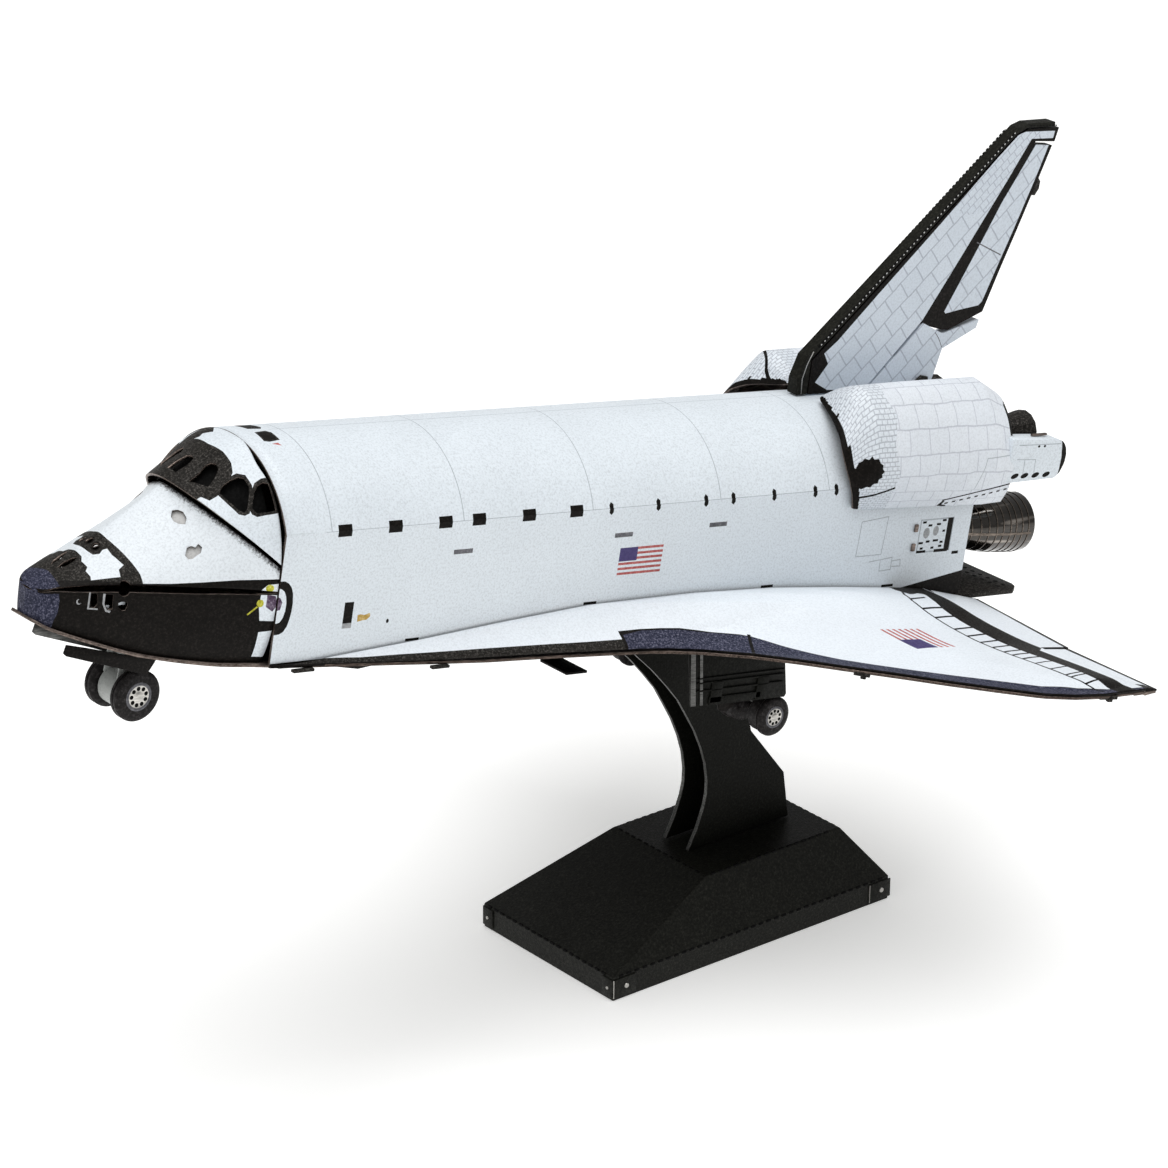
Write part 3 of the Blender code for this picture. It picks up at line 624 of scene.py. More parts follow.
CHINE = [(-24.0, -12.4), (-22.8, -11.95), (-20.3, -11.70), (-17.3, -11.45), (-10.0, -11.4), (-3.0, -11.5)]
NOSE_POWER = [(-24.0, 1.6), (-20.0, 1.38), (-16.0, 1.27), (-12.4, 1.22), (-10.5, 1.36), (-8.5, 1.62),
              (-6.5, 2.02), (-4.9, 2.22)]
CABIN_POWER = [(-12.4, 1.6), (-10.5, 1.66), (-8.5, 1.82), (-6.5, 2.13), (-4.9, 2.25)]
BELLY_HALF = [(x, w * 0.9 + 0.15) for x, w in NOSE_HALF[:-1]] + [(-4.0, 8.8), (77.0, 8.8)]
BELLY_LINE = [(-25.0, -14.6), (-24.0, -14.95), (-22.9, -15.5), (-19.0, -16.64), (-15.0, -17.6),
              (-10.0, -18.2), (-8.0, -18.33), (-4.9, -18.3), (5.0, -18.55), (16.0, BELLY_Z),
              (62.0, BELLY_Z), (77.0, -18.2)]
SLOT_OPEN = [(-23.75, -0.12), (-23.3, -0.03), (-22.7, 0.05), (-22.2, 0.10), (-20.5, 0.20), (-17.0, 0.24),
             (-12.0, 0.20), (-7.0, 0.12), (-4.8, 0.04)]


def over_the_back(x, top, base, half, power, share):
    """A point over the back at one station; share 0 is the port edge and 1 the starboard one."""
    n = 2.0 / power
    ang = math.pi * share
    c, s = math.cos(ang), math.sin(ang)
    y = -half * math.copysign(abs(c) ** n, c) if abs(c) > 1e-9 else 0.0
    return (x, y, base + (top - base) * (abs(s) ** n if abs(s) > 1e-9 else 0.0))


CUT_AT = Vector((CUT_A[0], 0, CUT_A[1]))
CUT_RUN = Vector((CUT_B[0] - CUT_A[0], 0, CUT_B[1] - CUT_A[1])).normalized()
CUT_UP = Vector((-CUT_RUN.z, 0, CUT_RUN.x))


def cut_along(bm, drop, keep_above=False):
    """Cut a sheet on a line drop millimetres below the canopy's lower edge, and keep one part."""
    bmesh.ops.bisect_plane(bm, geom=all_of(bm), dist=1e-5, plane_co=CUT_AT - CUT_UP * drop, plane_no=CUT_UP,
                           clear_outer=not keep_above, clear_inner=keep_above)


def nose_roof(u, v):
    x = NOSE_TIP + 0.1 + (BAY_FRONT - GAP - NOSE_TIP - 0.1) * u ** 1.5
    edge = along(CHINE, x) + GAP + along(SLOT_OPEN, x)
    return over_the_back(x, eased(NOSE_TOP, x), edge, eased(NOSE_HALF, x), along(NOSE_POWER, x), v)


# prints and holes of the nose, in x and y; the domes and the cap are drawn from the middle out to port
BLACK_DOME = [(-22.2, 0.0), (-22.25, -0.6), (-22.35, -1.7), (-22.5, -2.6), (-16.0, -6.2), (-16.1, -4.8),
              (-16.3, -4.2), (-16.5, -3.6), (-16.75, -2.8), (-17.0, -1.9), (-17.2, -1.0), (-17.3, 0.0)]
WHITE_DOME = [(-19.5, 0.0), (-19.5, -1.0), (-19.75, -1.4), (-19.65, -2.2), (-19.95, -2.45), (-19.85, -3.1),
              (-19.95, -3.35), (-17.7, -4.3), (-17.6, -3.8), (-17.1, -3.7), (-17.3, -3.2), (-17.55, -2.5),
              (-17.6, -1.8), (-17.95, -1.65), (-18.3, -1.8), (-18.75, -1.5), (-18.9, -0.9), (-19.0, 0.0)]
SLATE_CAP = [(-26, 0.0), (-26, -4), (-22.35, -4), (-22.3, -1.7), (-22.15, -0.6), (-22.1, 0.0)]
CHEEK_HOLES = ([(-21.5, 0.45), (-21.0, 0.86), (-20.2, 0.95), (-19.75, 0.8), (-20.1, 0.5), (-20.8, 0.3)],
               [(-12.1, 2.65), (-11.85, 2.35), (-11.45, 2.6), (-11.15, 3.0), (-11.1, 3.5), (-11.35, 3.75),
                (-11.75, 3.45), (-12.05, 3.05)],
               [(-12.1, 5.3), (-11.8, 5.0), (-11.45, 5.1), (-11.2, 5.35), (-10.9, 5.3), (-10.7, 5.6),
                (-10.9, 5.8), (-11.3, 5.75), (-11.6, 5.75), (-11.95, 5.6)])
# in x and z, a slot with each
ROOF_SEAM = ((1, [(-23.75, -12.16), (-22.2, -11.56), (-22.2, -12.3), (-23.75, -12.5)]),
             (1, [(-22.35, -11.35), (-19.8, -10.98), (-16.4, -10.98), (-13.8, -10.9), (-11.4, -10.7),
                  (-8.1, -10.42), (-4.5, -10.2), (-4.5, -12.2), (-22.35, -12.2)]))
ROOF_SIDE = ((0, [(-5.75, -10.75), (-4.6, -10.6), (-4.6, -12), (-6.2, -12), (-6.2, -11.2)]),
             (4, round_outline(-5.55, -11.05, 0.36, 0.33, 10)),
             (None, round_outline(-17.5, -11.2, 0.42, 0.42, 14)))
CAP_SIDE = ((1, [(-25, -11), (-22.5, -11), (-22.4, -12.3), (-22.3, -12.8), (-22.3, -13.9), (-22.5, -14.7),
                 (-22.6, -17), (-25, -17)]),
            (0, [(-23.75, -12.0), (-22.2, -11.6), (-22.2, -12.24), (-23.75, -12.42)]))
VENTS = ((3, rect(-20.15, -19.35, -13.45, -11.7)),
         (0, rect(-20.02, -19.35, -13.32, -11.7)),
         (None, [(-19.98, -12.05), (-19.5, -12.05), (-19.42, -13.0), (-19.6, -13.28), (-19.85, -13.25),
                 (-20.0, -12.6)]),
         (3, [(-19.08, -12.0), (-18.9, -12.0), (-18.9, -12.9), (-18.65, -13.4), (-18.35, -13.45),
              (-18.4, -13.65), (-18.75, -13.55), (-19.05, -12.9)]),
         (None, [(-18.88, -12.05), (-18.3, -12.05), (-18.25, -13.3), (-18.6, -13.35), (-18.85, -12.9)]),
         (None, [(-17.85, -12.75), (-17.6, -12.58), (-17.2, -12.62), (-17.1, -12.9), (-17.25, -13.35),
                 (-17.5, -13.4), (-17.8, -13.15)]),
         (None, round_outline(-17.5, -11.75, 0.42, 0.4, 12)),
         (3, round_outline(-20.85, -12.85, 0.2, 0.25, 8)),
         (0, round_outline(-20.78, -12.8, 0.16, 0.2, 8)))
HATCH_EDGE = ((2, [(-6.2, -11.4), (-4.5, -11.4), (-4.5, -13.95), (-6.05, -13.95), (-6.3, -12.6)]),
              (5, [(-5.7, -11.6), (-5.0, -11.7), (-4.7, -12.4), (-5.1, -13.1), (-5.7, -12.7)]),
              (4, round_outline(-6.2, -12.4, 0.3, 0.35, 10)))
WHITE_CORNER = [(-5.95, -15.0), (-4.4, -14.75), (-4.4, -17.4), (-5.85, -17.4)]
VENT_SLIPS = ((-18.5, 3.95, -13.35, -13.1, 0.5), (-17.45, 4.42, -13.0, -12.72, 0.9))  # x, y, z0, z1, length


def make_nose():
    bm = face_away(sheet(90, 72, nose_roof), (-8, 0, -11.6))
    cut_along(bm, 0.25)
    # slots: 0 white, 1 black, 2 speckled black, 3 slate, 4 yellow, 5 plum, 6 cut edge
    marks(bm, "top", ((2, both(BLACK_DOME)), (0, both(WHITE_DOME)), (3, both(SLATE_CAP))))
    marks(bm, "side", ROOF_SEAM[:1])
    marks(bm, "side", ROOF_SEAM[1:], lambda c: abs(c.y) > 2.0)
    for side in (-1, 1):
        marks(bm, "top", [(None, to_side(side, hole)) for hole in CHEEK_HOLES])
        marks(bm, "side", ROOF_SIDE, on_side(side))
    for y in (-0.98, 0.02, 1.02):
        marks(bm, "top", ((1, round_outline(-18.2, y, 0.42, 0.46, 12)),
                          (None, round_outline(-18.2, y, 0.29, 0.33, 12))))
    place("nose_upper_sheet", bm, [NOSE_WHITE, BLACK, GREY_BLACK, SLATE, YELLOW, PLUM, CUT_EDGE],
          ["nose_upper_skin"], thick=SHEET, slot="white_print")

    def jaw(u, v):
        s = u * 2 - 1
        x = NOSE_TIP + (BAY_FRONT - GAP - NOSE_TIP) * abs(s) ** 1.7
        side = -1 if s > 0 else 1
        top = along(CHINE, x) - GAP - along(SLOT_OPEN, x) * 0.8
        low = min(eased(NOSE_LOW, x) + 0.3, eased(BELLY_LINE, x) + 0.14)
        return (x, side * eased(NOSE_HALF, x) * (1 - 0.14 * v ** 3), top + (low - top) * v)

    bm = face_away(sheet(120, 16, jaw), (-8, 0, -14))
    # slots: 0 black, 1 slate, 2 white, 3 pale edge, 4 yellow, 5 plum, 6 cut edge
    marks(bm, "side", CAP_SIDE)
    for side in (-1, 1):
        only = on_side(side)
        marks(bm, "side", VENTS + HATCH_EDGE, only)
        strokes(bm, [(-7.1, -13.4), (-6.45, -12.75)], 0.14, "side", 4, only)
        mark(bm, WHITE_CORNER, "side", 2, only)
    place("nose_lower_sheet", bm, [BLACK, SLATE, WHITE, PALE_INK, YELLOW, PLUM, CUT_EDGE],
          ["nose_lower_skin"], thick=SHEET, slot="black_print")

    # bright slips that show in the vents, tucked behind the lower sheet
    for tag, side in SIDES:
        bm = bmesh.new()
        for x, y, z0, z1, w in VENT_SLIPS:
            slip = block(x - w / 2, x + w / 2, side * y - 0.05, side * y + 0.05, z0, z1)
            add(bm, rounded(slip, 0.02), 0)
        place("nose_vent_slips_" + tag, bm, [WHITE], slot="bare_steel")

    # bare lining that shows pale through the two cut-outs on each cheek
    def lining(u, v):
        x = -12.75 + 2.35 * u
        return over_the_back(x, eased(NOSE_TOP, x) - 0.5, along(CHINE, x) + 0.4, eased(NOSE_HALF, x) - 0.42,
                             along(NOSE_POWER, x), 0.04 + 0.92 * v)

    bm = face_away(sheet(8, 60, lining), (-12, 0, -11.6))
    cut_along(bm, 0.9)
    place("nose_cheek_lining", bm, [PALE_STEEL], slot="bare_steel")


# prints and windows of the canopy
BROW = [(-13, 0.0), (-13, -3.2), (-10.1, -3.75), (-9.6, -4.35), (-9.0, -4.45), (-8.4, -4.5), (-7.8, -4.3),
        (-7.3, -4.0), (-7.05, -3.3), (-7.0, -1.9), (-7.15, -0.5), (-7.2, 0.0)]
FAR_BROW = [(-10.3, 1.6), (-9.4, 1.2), (-8.35, 1.75), (-7.8, 2.3), (-7.1, 2.45), (-6.7, 2.0), (-6.3, 2.2),
            (-5.8, 1.4), (-5.1, 2.3), (-5.3, 3.8), (-5.9, 4.2), (-6.8, 4.2), (-8.0, 4.6), (-9.2, 5.1),
            (-10.2, 4.2)]
SIDE_WINDOWS = (
    (1, [(-8.95, -3.9), (-8.5, -3.3), (-7.8, -2.7), (-7.1, -2.25), (-6.6, -2.25), (-6.42, -2.9), (-6.6, -3.7),
         (-7.1, -5.0), (-7.45, -5.22), (-7.85, -5.18), (-8.4, -4.55)]),
    (1, [(-7.05, -4.7), (-6.9, -4.2), (-6.6, -3.3), (-6.2, -2.72), (-5.6, -2.35), (-4.2, -2.0), (-4.2, -4.6),
         (-5.1, -4.82), (-6.0, -5.02), (-6.6, -5.2), (-6.95, -5.05)]),
    (None, [(-8.72, -3.82), (-8.3, -3.3), (-7.75, -2.85), (-7.1, -2.48), (-6.8, -2.5), (-6.66, -2.95),
            (-6.82, -3.6), (-7.25, -4.8), (-7.45, -4.98), (-7.75, -4.9), (-8.2, -4.42)]),
    (None, [(-6.85, -4.6), (-6.68, -4.0), (-6.4, -3.35), (-6.0, -2.85), (-5.55, -2.6), (-5.18, -2.65),
            (-5.1, -4.6), (-5.9, -4.8), (-6.6, -4.92)]))
FRONT_WINDOW = [(-10.35, 2.15), (-9.9, 2.15), (-9.3, 2.1), (-8.6, 1.85), (-8.2, 2.0), (-7.95, 2.45),
                (-8.05, 2.95), (-8.6, 3.3), (-9.3, 3.5)]
MIDDLE_WINDOW = [(-10.7, 0.0), (-10.7, -0.62), (-9.7, -0.72), (-8.9, -0.5), (-8.75, 0.0)]


def make_canopy():
    def ajar(share):
        """How far the rear edge stands off the bay: most at the shoulders, tucked in at the crown."""
        return (0.30 * math.exp(-((abs(share - 0.5) - 0.16) / 0.055) ** 2)
                - (GAP + 0.06) * math.exp(-((share - 0.5) / 0.075) ** 4))

    def roof(u, v):
        lean = LEAN * max(0.0, math.cos((v - 0.5) * math.pi * 90 / HINGE_DEG))
        x = -12.6 + (BAY_FRONT - GAP - lean - ajar(v) + 12.6) * u
        return over_the_back(x, eased(CABIN_TOP, x) + 0.12, along(CHINE, x), eased(NOSE_HALF, x) + 0.12,
                             along(CABIN_POWER, x), v)

    bm = face_away(sheet(56, 84, roof), (-6, 0, -10))
    cut_along(bm, 0.0, True)
    # slots: 0 white, 1 speckled black, 2 black, 3 cut edge
    marks(bm, "top", ((1, both(BROW)), (1, FAR_BROW)))
    for side in (-1, 1):
        marks(bm, "side", SIDE_WINDOWS, on_side(side, 3.2))
        mark(bm, to_side(side, FRONT_WINDOW), "top", None)
    mark(bm, both(MIDDLE_WINDOW), "top", None)
    place("canopy_sheet", bm, [WHITE, GREY_BLACK, BLACK, CUT_EDGE], ["canopy_skin"], thick=SHEET,
          slot="white_print")

    # shadow box inside the cabin, so that the windows look into darkness
    def liner(u, v):
        x = -11.2 + 6.0 * u
        return over_the_back(x, eased(CABIN_TOP, x) - 0.9, -11.2, eased(NOSE_HALF, x) - 1.0,
                             along(CABIN_POWER, x), v)

    bm = face_away(sheet(10, 24, liner), (-8, 0, -12))
    cut_along(bm, -0.25, True)
    place("cabin_dark_liner", bm, [DEEP, DEEP], thick=0.1, slot="black_print")


# ---------------------------------------------------------------- body


ROOF_WINDOW = ((3, [(-3.1, 2.25), (-2.6, 2.4), (-1.4, 2.2), (-1.3, 0.75), (-1.65, 0.3), (-2.9, 0.5)]),
               (2, [(-2.9, 2.05), (-2.5, 2.2), (-1.6, 2.0), (-1.5, 0.85), (-1.75, 0.5), (-2.75, 0.65)]),
               (4, [(-2.6, 2.72), (-1.9, 2.62), (-1.75, 3.05)]))


def make_bay():
    top = math.radians(HINGE_DEG)

    def back(u, v):
        ang = -top + 2 * top * v
        front = BAY_FRONT - LEAN * math.cos(ang * 90 / HINGE_DEG)
        x = front + (BODY_AFT - front) * u
        return (x, TUBE_R * math.sin(ang), -TUBE_R + TUBE_R * math.cos(ang))

    bm = face_away(sheet(58, 112, back), (40, 0, -10))
    # slots: 0 white, 1 faint line, 2 black, 3 speckled black, 4 red, 5 cut edge
    for x in (0.0, 14.26, 28.84, 43.94, 57.33):
        mark(bm, rect(x - 0.045, x + 0.045, -20, 20), "top", 1)
    mark(bm, rect(-1.0, 59.0, -0.035, 0.035), "top", 1)
    for side in (-1, 1):
        only = on_side(side, 5)
        mark(bm, rect(-0.6, 58.9, HINGE_Z - 0.1, HINGE_Z + 0.05), "side", 1, only)
        for x in HINGE_BLOCKS:
            mark(bm, rect(x - 0.75, x + 0.72, HINGE_Z - 0.2, HINGE_Z + 0.52), "side", 2, only)
        for x in HINGE_PINS:
            mark(bm, [(x - 0.22, HINGE_Z - 0.2), (x - 0.26, HINGE_Z + 0.3), (x - 0.05, HINGE_Z + 0.55),
                      (x + 0.22, HINGE_Z + 0.36), (x + 0.2, HINGE_Z - 0.2)], "side", 2, only)
        marks(bm, "top", [(slot, to_side(side, points)) for slot, points in ROOF_WINDOW])
    place("payload_bay_sheet", bm, [WHITE, FAINT, BLACK, GREY_BLACK, RED, CUT_EDGE], ["payload_bay_skin"],
          thick=SHEET, slot="white_print")


# prints of the side sheets, in x and z, a slot with each
FRONT_PRINTS = (
    (2, rect(2.42, 3.4, -14.75, -12.85)),
    (7, rect(2.42, 3.4, -15.2, -14.75)),
    (4, [(3.95, -14.1), (4.3, -14.05), (4.7, -14.15), (5.25, -14.0), (5.35, -14.3), (5.0, -14.6),
         (4.5, -14.62), (4.0, -14.72)]),
    (2, round_outline(7.3, -14.9, 0.16, 0.2, 8)),
    # hatch ring beside the nose
    (2, [(-5, -10.4), (-4.3, -10.42), (-3.85, -10.65), (-3.5, -11.05), (-3.28, -11.6), (-3.18, -12.4),
         (-3.2, -13.2), (-3.32, -13.9), (-3.5, -14.5), (-3.8, -14.95), (-4.2, -15.15), (-5, -15.2)]),
    (0, [(-5, -11.0), (-4.55, -11.1), (-4.2, -11.35), (-3.98, -11.8), (-3.86, -12.4), (-3.88, -13.1),
         (-4.05, -13.7), (-4.35, -14.1), (-5, -14.2)]),
    (8, [(-5, -11.7), (-4.55, -11.9), (-4.3, -12.3), (-4.45, -12.95), (-5, -13.05)]))
TAIL_LINES = ([(62.25, -9.8), (65.6, -9.5), (65.4, -13.2), (62.15, -13.2), (62.25, -9.8)],
              [(64.0, -13.85), (66.95, -13.6), (66.95, -14.8), (65.5, -14.85), (65.45, -13.75)],
              [(66.95, -13.95), (68.05, -13.9), (68.15, -14.55), (67.1, -14.5)])
PANEL = ((1, rect(69.95, 74.35, -13.45, -10.1)), (0, rect(70.1, 74.2, -13.3, -10.25)),
         (2, rect(73.55, 74.25, -13.4, -10.15)), (2, rect(70.0, 71.2, -13.45, -13.2)),
         (2, rect(72.3, 74.1, -13.5, -13.2)))
# x, z and length
PANEL_DASHES = ((70.5, -10.4, 0.5), (71.3, -10.75, 0.5), (72.4, -10.7, 0.55), (73.1, -10.35, 0.5),
                (70.4, -12.45, 0.6), (71.3, -12.35, 0.5), (72.3, -12.3, 0.7), (73.1, -12.5, 0.4),
                (70.6, -13.0, 0.4), (72.0, -13.0, 0.4), (73.0, -12.9, 0.45), (73.2, -11.4, 0.35))
REAR_PRINTS = (
    (7, round_outline(70.95, -11.5, 0.42, 0.55, 10)),
    (7, round_outline(72.15, -11.35, 0.38, 0.5, 10)),
    (2, rect(74.75, 75.6, -13.85, -13.55)),
    (2, [(68.6, -16.75), (76.8, -15.55), (76.8, -19), (68.6, -19)]),
    (2, [(-5, -17.75), (0.6, -17.75), (1.5, -18.2), (1.5, -19), (-5, -19)]))
ROOT_TABS = ((10.3, -16.85), (30.1, -15.15), (51.4, -15.25), (66.9, -16.4))
SIDE_PATCH = (32.75, 37.85, -10.2, -12.75)                     # x0, x1, top and foot


def make_side(tag, side):
    def wall(u, v):
        x = BAY_FRONT + (BODY_AFT - BAY_FRONT) * u
        low = BELLY_Z + 0.35 + 0.65 * max(0.0, (x - 60) / 16.6) + 0.43 * max(0.0, (16 - x) / 20.75)
        return (x, side * HALF_W, HINGE_Z + (low - HINGE_Z) * v)

    bm = face_away(sheet(60, 14, wall), (40, 0, -12))
    # slots: 0 white, 1 faint, 2 black, 3 grey ink, 4 ochre, 5 red, 6 blue, 7 pale grey, 8 plum, 9 cut edge
    marks(bm, "side", [(2, rect(x - 0.75, x + 0.72, HINGE_Z - 0.5, HINGE_Z + 0.1)) for x in HINGE_BLOCKS])
    for x in HINGE_PINS:
        mark(bm, [(x - 0.2, HINGE_Z + 0.1), (x + 0.26, HINGE_Z + 0.1), (x + 0.28, HINGE_Z - 0.36),
                  (x + 0.08, HINGE_Z - 0.6), (x - 0.2, HINGE_Z - 0.4)], "side", 2)
    for x, z in ((14.65, -9.15), (32.9, -8.95), (44.1, -8.75)):
        mark(bm, rect(x - 1.05, x + 1.05, z - 0.22, z + 0.2), "side", 3)
    marks(bm, "side", FRONT_PRINTS)
    # plain stripes and a plain block
    x0, x1, z0, z1 = SIDE_PATCH
    step = (z1 - z0) / 11
    for k in range(0, 11, 2):
        mark(bm, rect(x0, x1, z0 + step * (k + 1), z0 + step * k), "side", 5)
    mark(bm, rect(x0, x0 + 2.1, z0 + step * 5.5, z0), "side", 6)
    for points in TAIL_LINES:
        strokes(bm, points, 0.09, "side", 1)
    marks(bm, "side", PANEL)
    marks(bm, "side", [(2, rect(x - w / 2, x + w / 2, z - 0.12, z + 0.1)) for x, z, w in PANEL_DASHES])
    marks(bm, "side", REAR_PRINTS)
    marks(bm, "side", [(2, rect(x - 0.75, x + 0.75, z - 0.12, z + 0.14)) for x, z in ROOT_TABS])
    looks = [WHITE, FAINT, BLACK, GREY_INK, OCHRE, RED, BLUE, PALE_INK, PLUM, CUT_EDGE]
    place("side_sheet_" + tag, bm, looks, ["side_skin_" + tag], thick=SHEET, smooth=None, slot="white_print")
    bm = bmesh.new()
    for z0, z1 in ((-11.25, -10.5), (-13.15, -12.4)):
        clip = block(69.15, 69.6, side * (HALF_W + 0.02), side * (HALF_W + 0.22), z0, z1)
        add(bm, rounded(clip, 0.06), 0)
    place("side_clips_" + tag, bm, [CUT_EDGE], slot="bare_steel")


def make_belly():
    def floor(u, v):
        x = -24.2 + 100.7 * u ** 1.6
        half = eased(BELLY_HALF, x + 0.5) if x < -15 else along(BELLY_HALF, x)
        return (x, max(half, 0.5) * (2 * v - 1), eased(BELLY_LINE, x))

    bm = face_away(sheet(70, 8, floor), (20, 0, 0))
    place("belly_sheet", bm, [TILED_BLACK, CUT_EDGE], ["belly_skin"], thick=SHEET, slot="black_print")
    ring = [(-8.8, -17.6), (8.8, -17.6), (8.8, -6.5)]
    for degrees in range(66, -67, -6):
        a = math.radians(degrees)
        ring.append((9.35 * math.sin(a), -TUBE_R + 9.35 * math.cos(a)))
    ring.append((-8.8, -6.5))
    bm = prism(ring, 0, BODY_AFT - 0.3, BODY_AFT)
    place("rear_bulkhead_plate", bm, [BLACK], ["rear_bulkhead"], smooth=30, slot="black_print")


# ---------------------------------------------------------------- wings


LEAD = [(-5.0, 9.45), (0.5, 9.75), (9.0, 10.6), (15.9, 11.4), (22.9, 12.2), (28.9, 13.1), (32.9, 13.7),
        (35.3, 14.2), (38.6, 15.7), (42.3, 18.1), (45.5, 21.1), (48.5, 24.4), (51.6, 27.7), (54.6, 31.1),
        (57.7, 34.3), (60.6, 37.1), (63.4, 38.4), (66.3, 39.0)]
ROOT_Z = [(-5.0, -18.15), (-2.7, -17.9), (10.4, -16.9), (20.0, -16.0), (30.0, -15.2), (42.0, -15.05),
          (51.4, -15.3), (60.0, -15.9), (69.7, -16.75), (71.5, -16.95)]
WING_LOW = [(9.0, -18.9), (12.0, -18.75), (39.0, -17.3)]
FULLNESS = [(9.3, 1.0), (12.5, 0.94), (14.5, 0.82), (17.2, 0.6), (20.0, 0.44), (24.0, 0.31), (36.0, 0.26),
            (39.0, 0.02)]


def lead_x(y):
    return along([(w, x) for x, w in LEAD], y)


def strake_rise(x):
    """How far the strake's underside rises towards the nose."""
    return 0.75 * max(0.0, (16.0 - x) / 20.75)


def wing_top(x, y):
    low = along(WING_LOW, y)
    front = lead_x(y)
    least = max(0.5, strake_rise(x) + 0.36)
    if x <= front:
        return low + least
    t = (x - front) / (HINGE_X - front)
    full = along(ROOT_Z, -5.0 + t * (HINGE_X + 5.0)) - WING_LOW[0][1]
    return low + max(least, full * eased(FULLNESS, y))


# prints of the wing, in x and y for starboard
SLATE_INNER = [(31.3, 12.1), (33.6, 12.35), (35.7, 12.7), (37.7, 13.1), (39.7, 13.7), (41.5, 14.4),
               (43.2, 15.2), (44.1, 15.8), (45.0, 16.8), (46.2, 18.4), (47.6, 20.3), (49.2, 22.3),
               (51.0, 24.5), (53.2, 26.9), (55.8, 29.5), (58.9, 32.7), (61.6, 35.4), (64.5, 37.1),
               (67.8, 38.1), (70.0, 38.5)]
SLATE_OUTER = [(71.6, 38.6), (71.6, 40), (60, 40), (31, 40)]
RUNGS = (14.0, 16.0, 17.8, 20.4, 22.1, 23.8, 25.4, 26.9, 28.0, 29.3, 30.9, 32.8, 34.6, 35.2, 36.8)
LADDER = [(67.6, 10.4), (65.9, 12.6), (65.2, 14.4), (65.05, 16.2), (65.1, 20.0), (65.25, 24.0),
          (65.2, 28.0), (65.25, 32.0), (65.5, 35.1), (65.85, 36.9), (66.5, 38.4)]
BAND_FRONT = [(69.6, 9.3), (69.2, 12.2), (68.7, 13.4), (68.0, 15.8), (67.85, 18.5), (67.95, 22.0),
              (67.8, 27.0), (67.85, 33.0), (67.75, 37.3), (67.9, 39.1)]
BAND_REAR = [(70.2, 39.1), (70.1, 34.0), (70.2, 29.0), (70.3, 26.6), (71.35, 25.8), (71.4, 9.3)]
BAND_ROOT = [(67.0, 9.3), (70.2, 9.3), (69.4, 11.9), (68.6, 11.6), (67.6, 12.1), (67.0, 12.2), (66.7, 10.6)]
STRAKE_EDGE = [(-6, 9.2), (-6, 30), (31.5, 30), (31.5, 12.85), (24.6, 11.95), (16.3, 11.0), (8.3, 10.15),
               (2.0, 9.55), (-1.0, 9.3)]
ELEVONS = (("inner", 9.45, 25.6, 79.2, 75.2), ("outer", 26.0, 38.9, 74.9, 73.1))   # y0, y1, rear edge at each
EDGE_TABS = ((-1.6, 9.7, -18.36, 2.2), (12.2, 11.1, -18.80, 1.9), (49.3, 25.2, -18.10, 1.5),
             (66.9, 38.75, -17.28, 1.9))                                           # x, y, z, length


def on_patch(a, b):
    """A point of the wing's coloured patch, from its two shares."""
    return (56.8 + 4.1 * a + 0.75 * b, 19.1 + 0.75 * a + 4.4 * b)


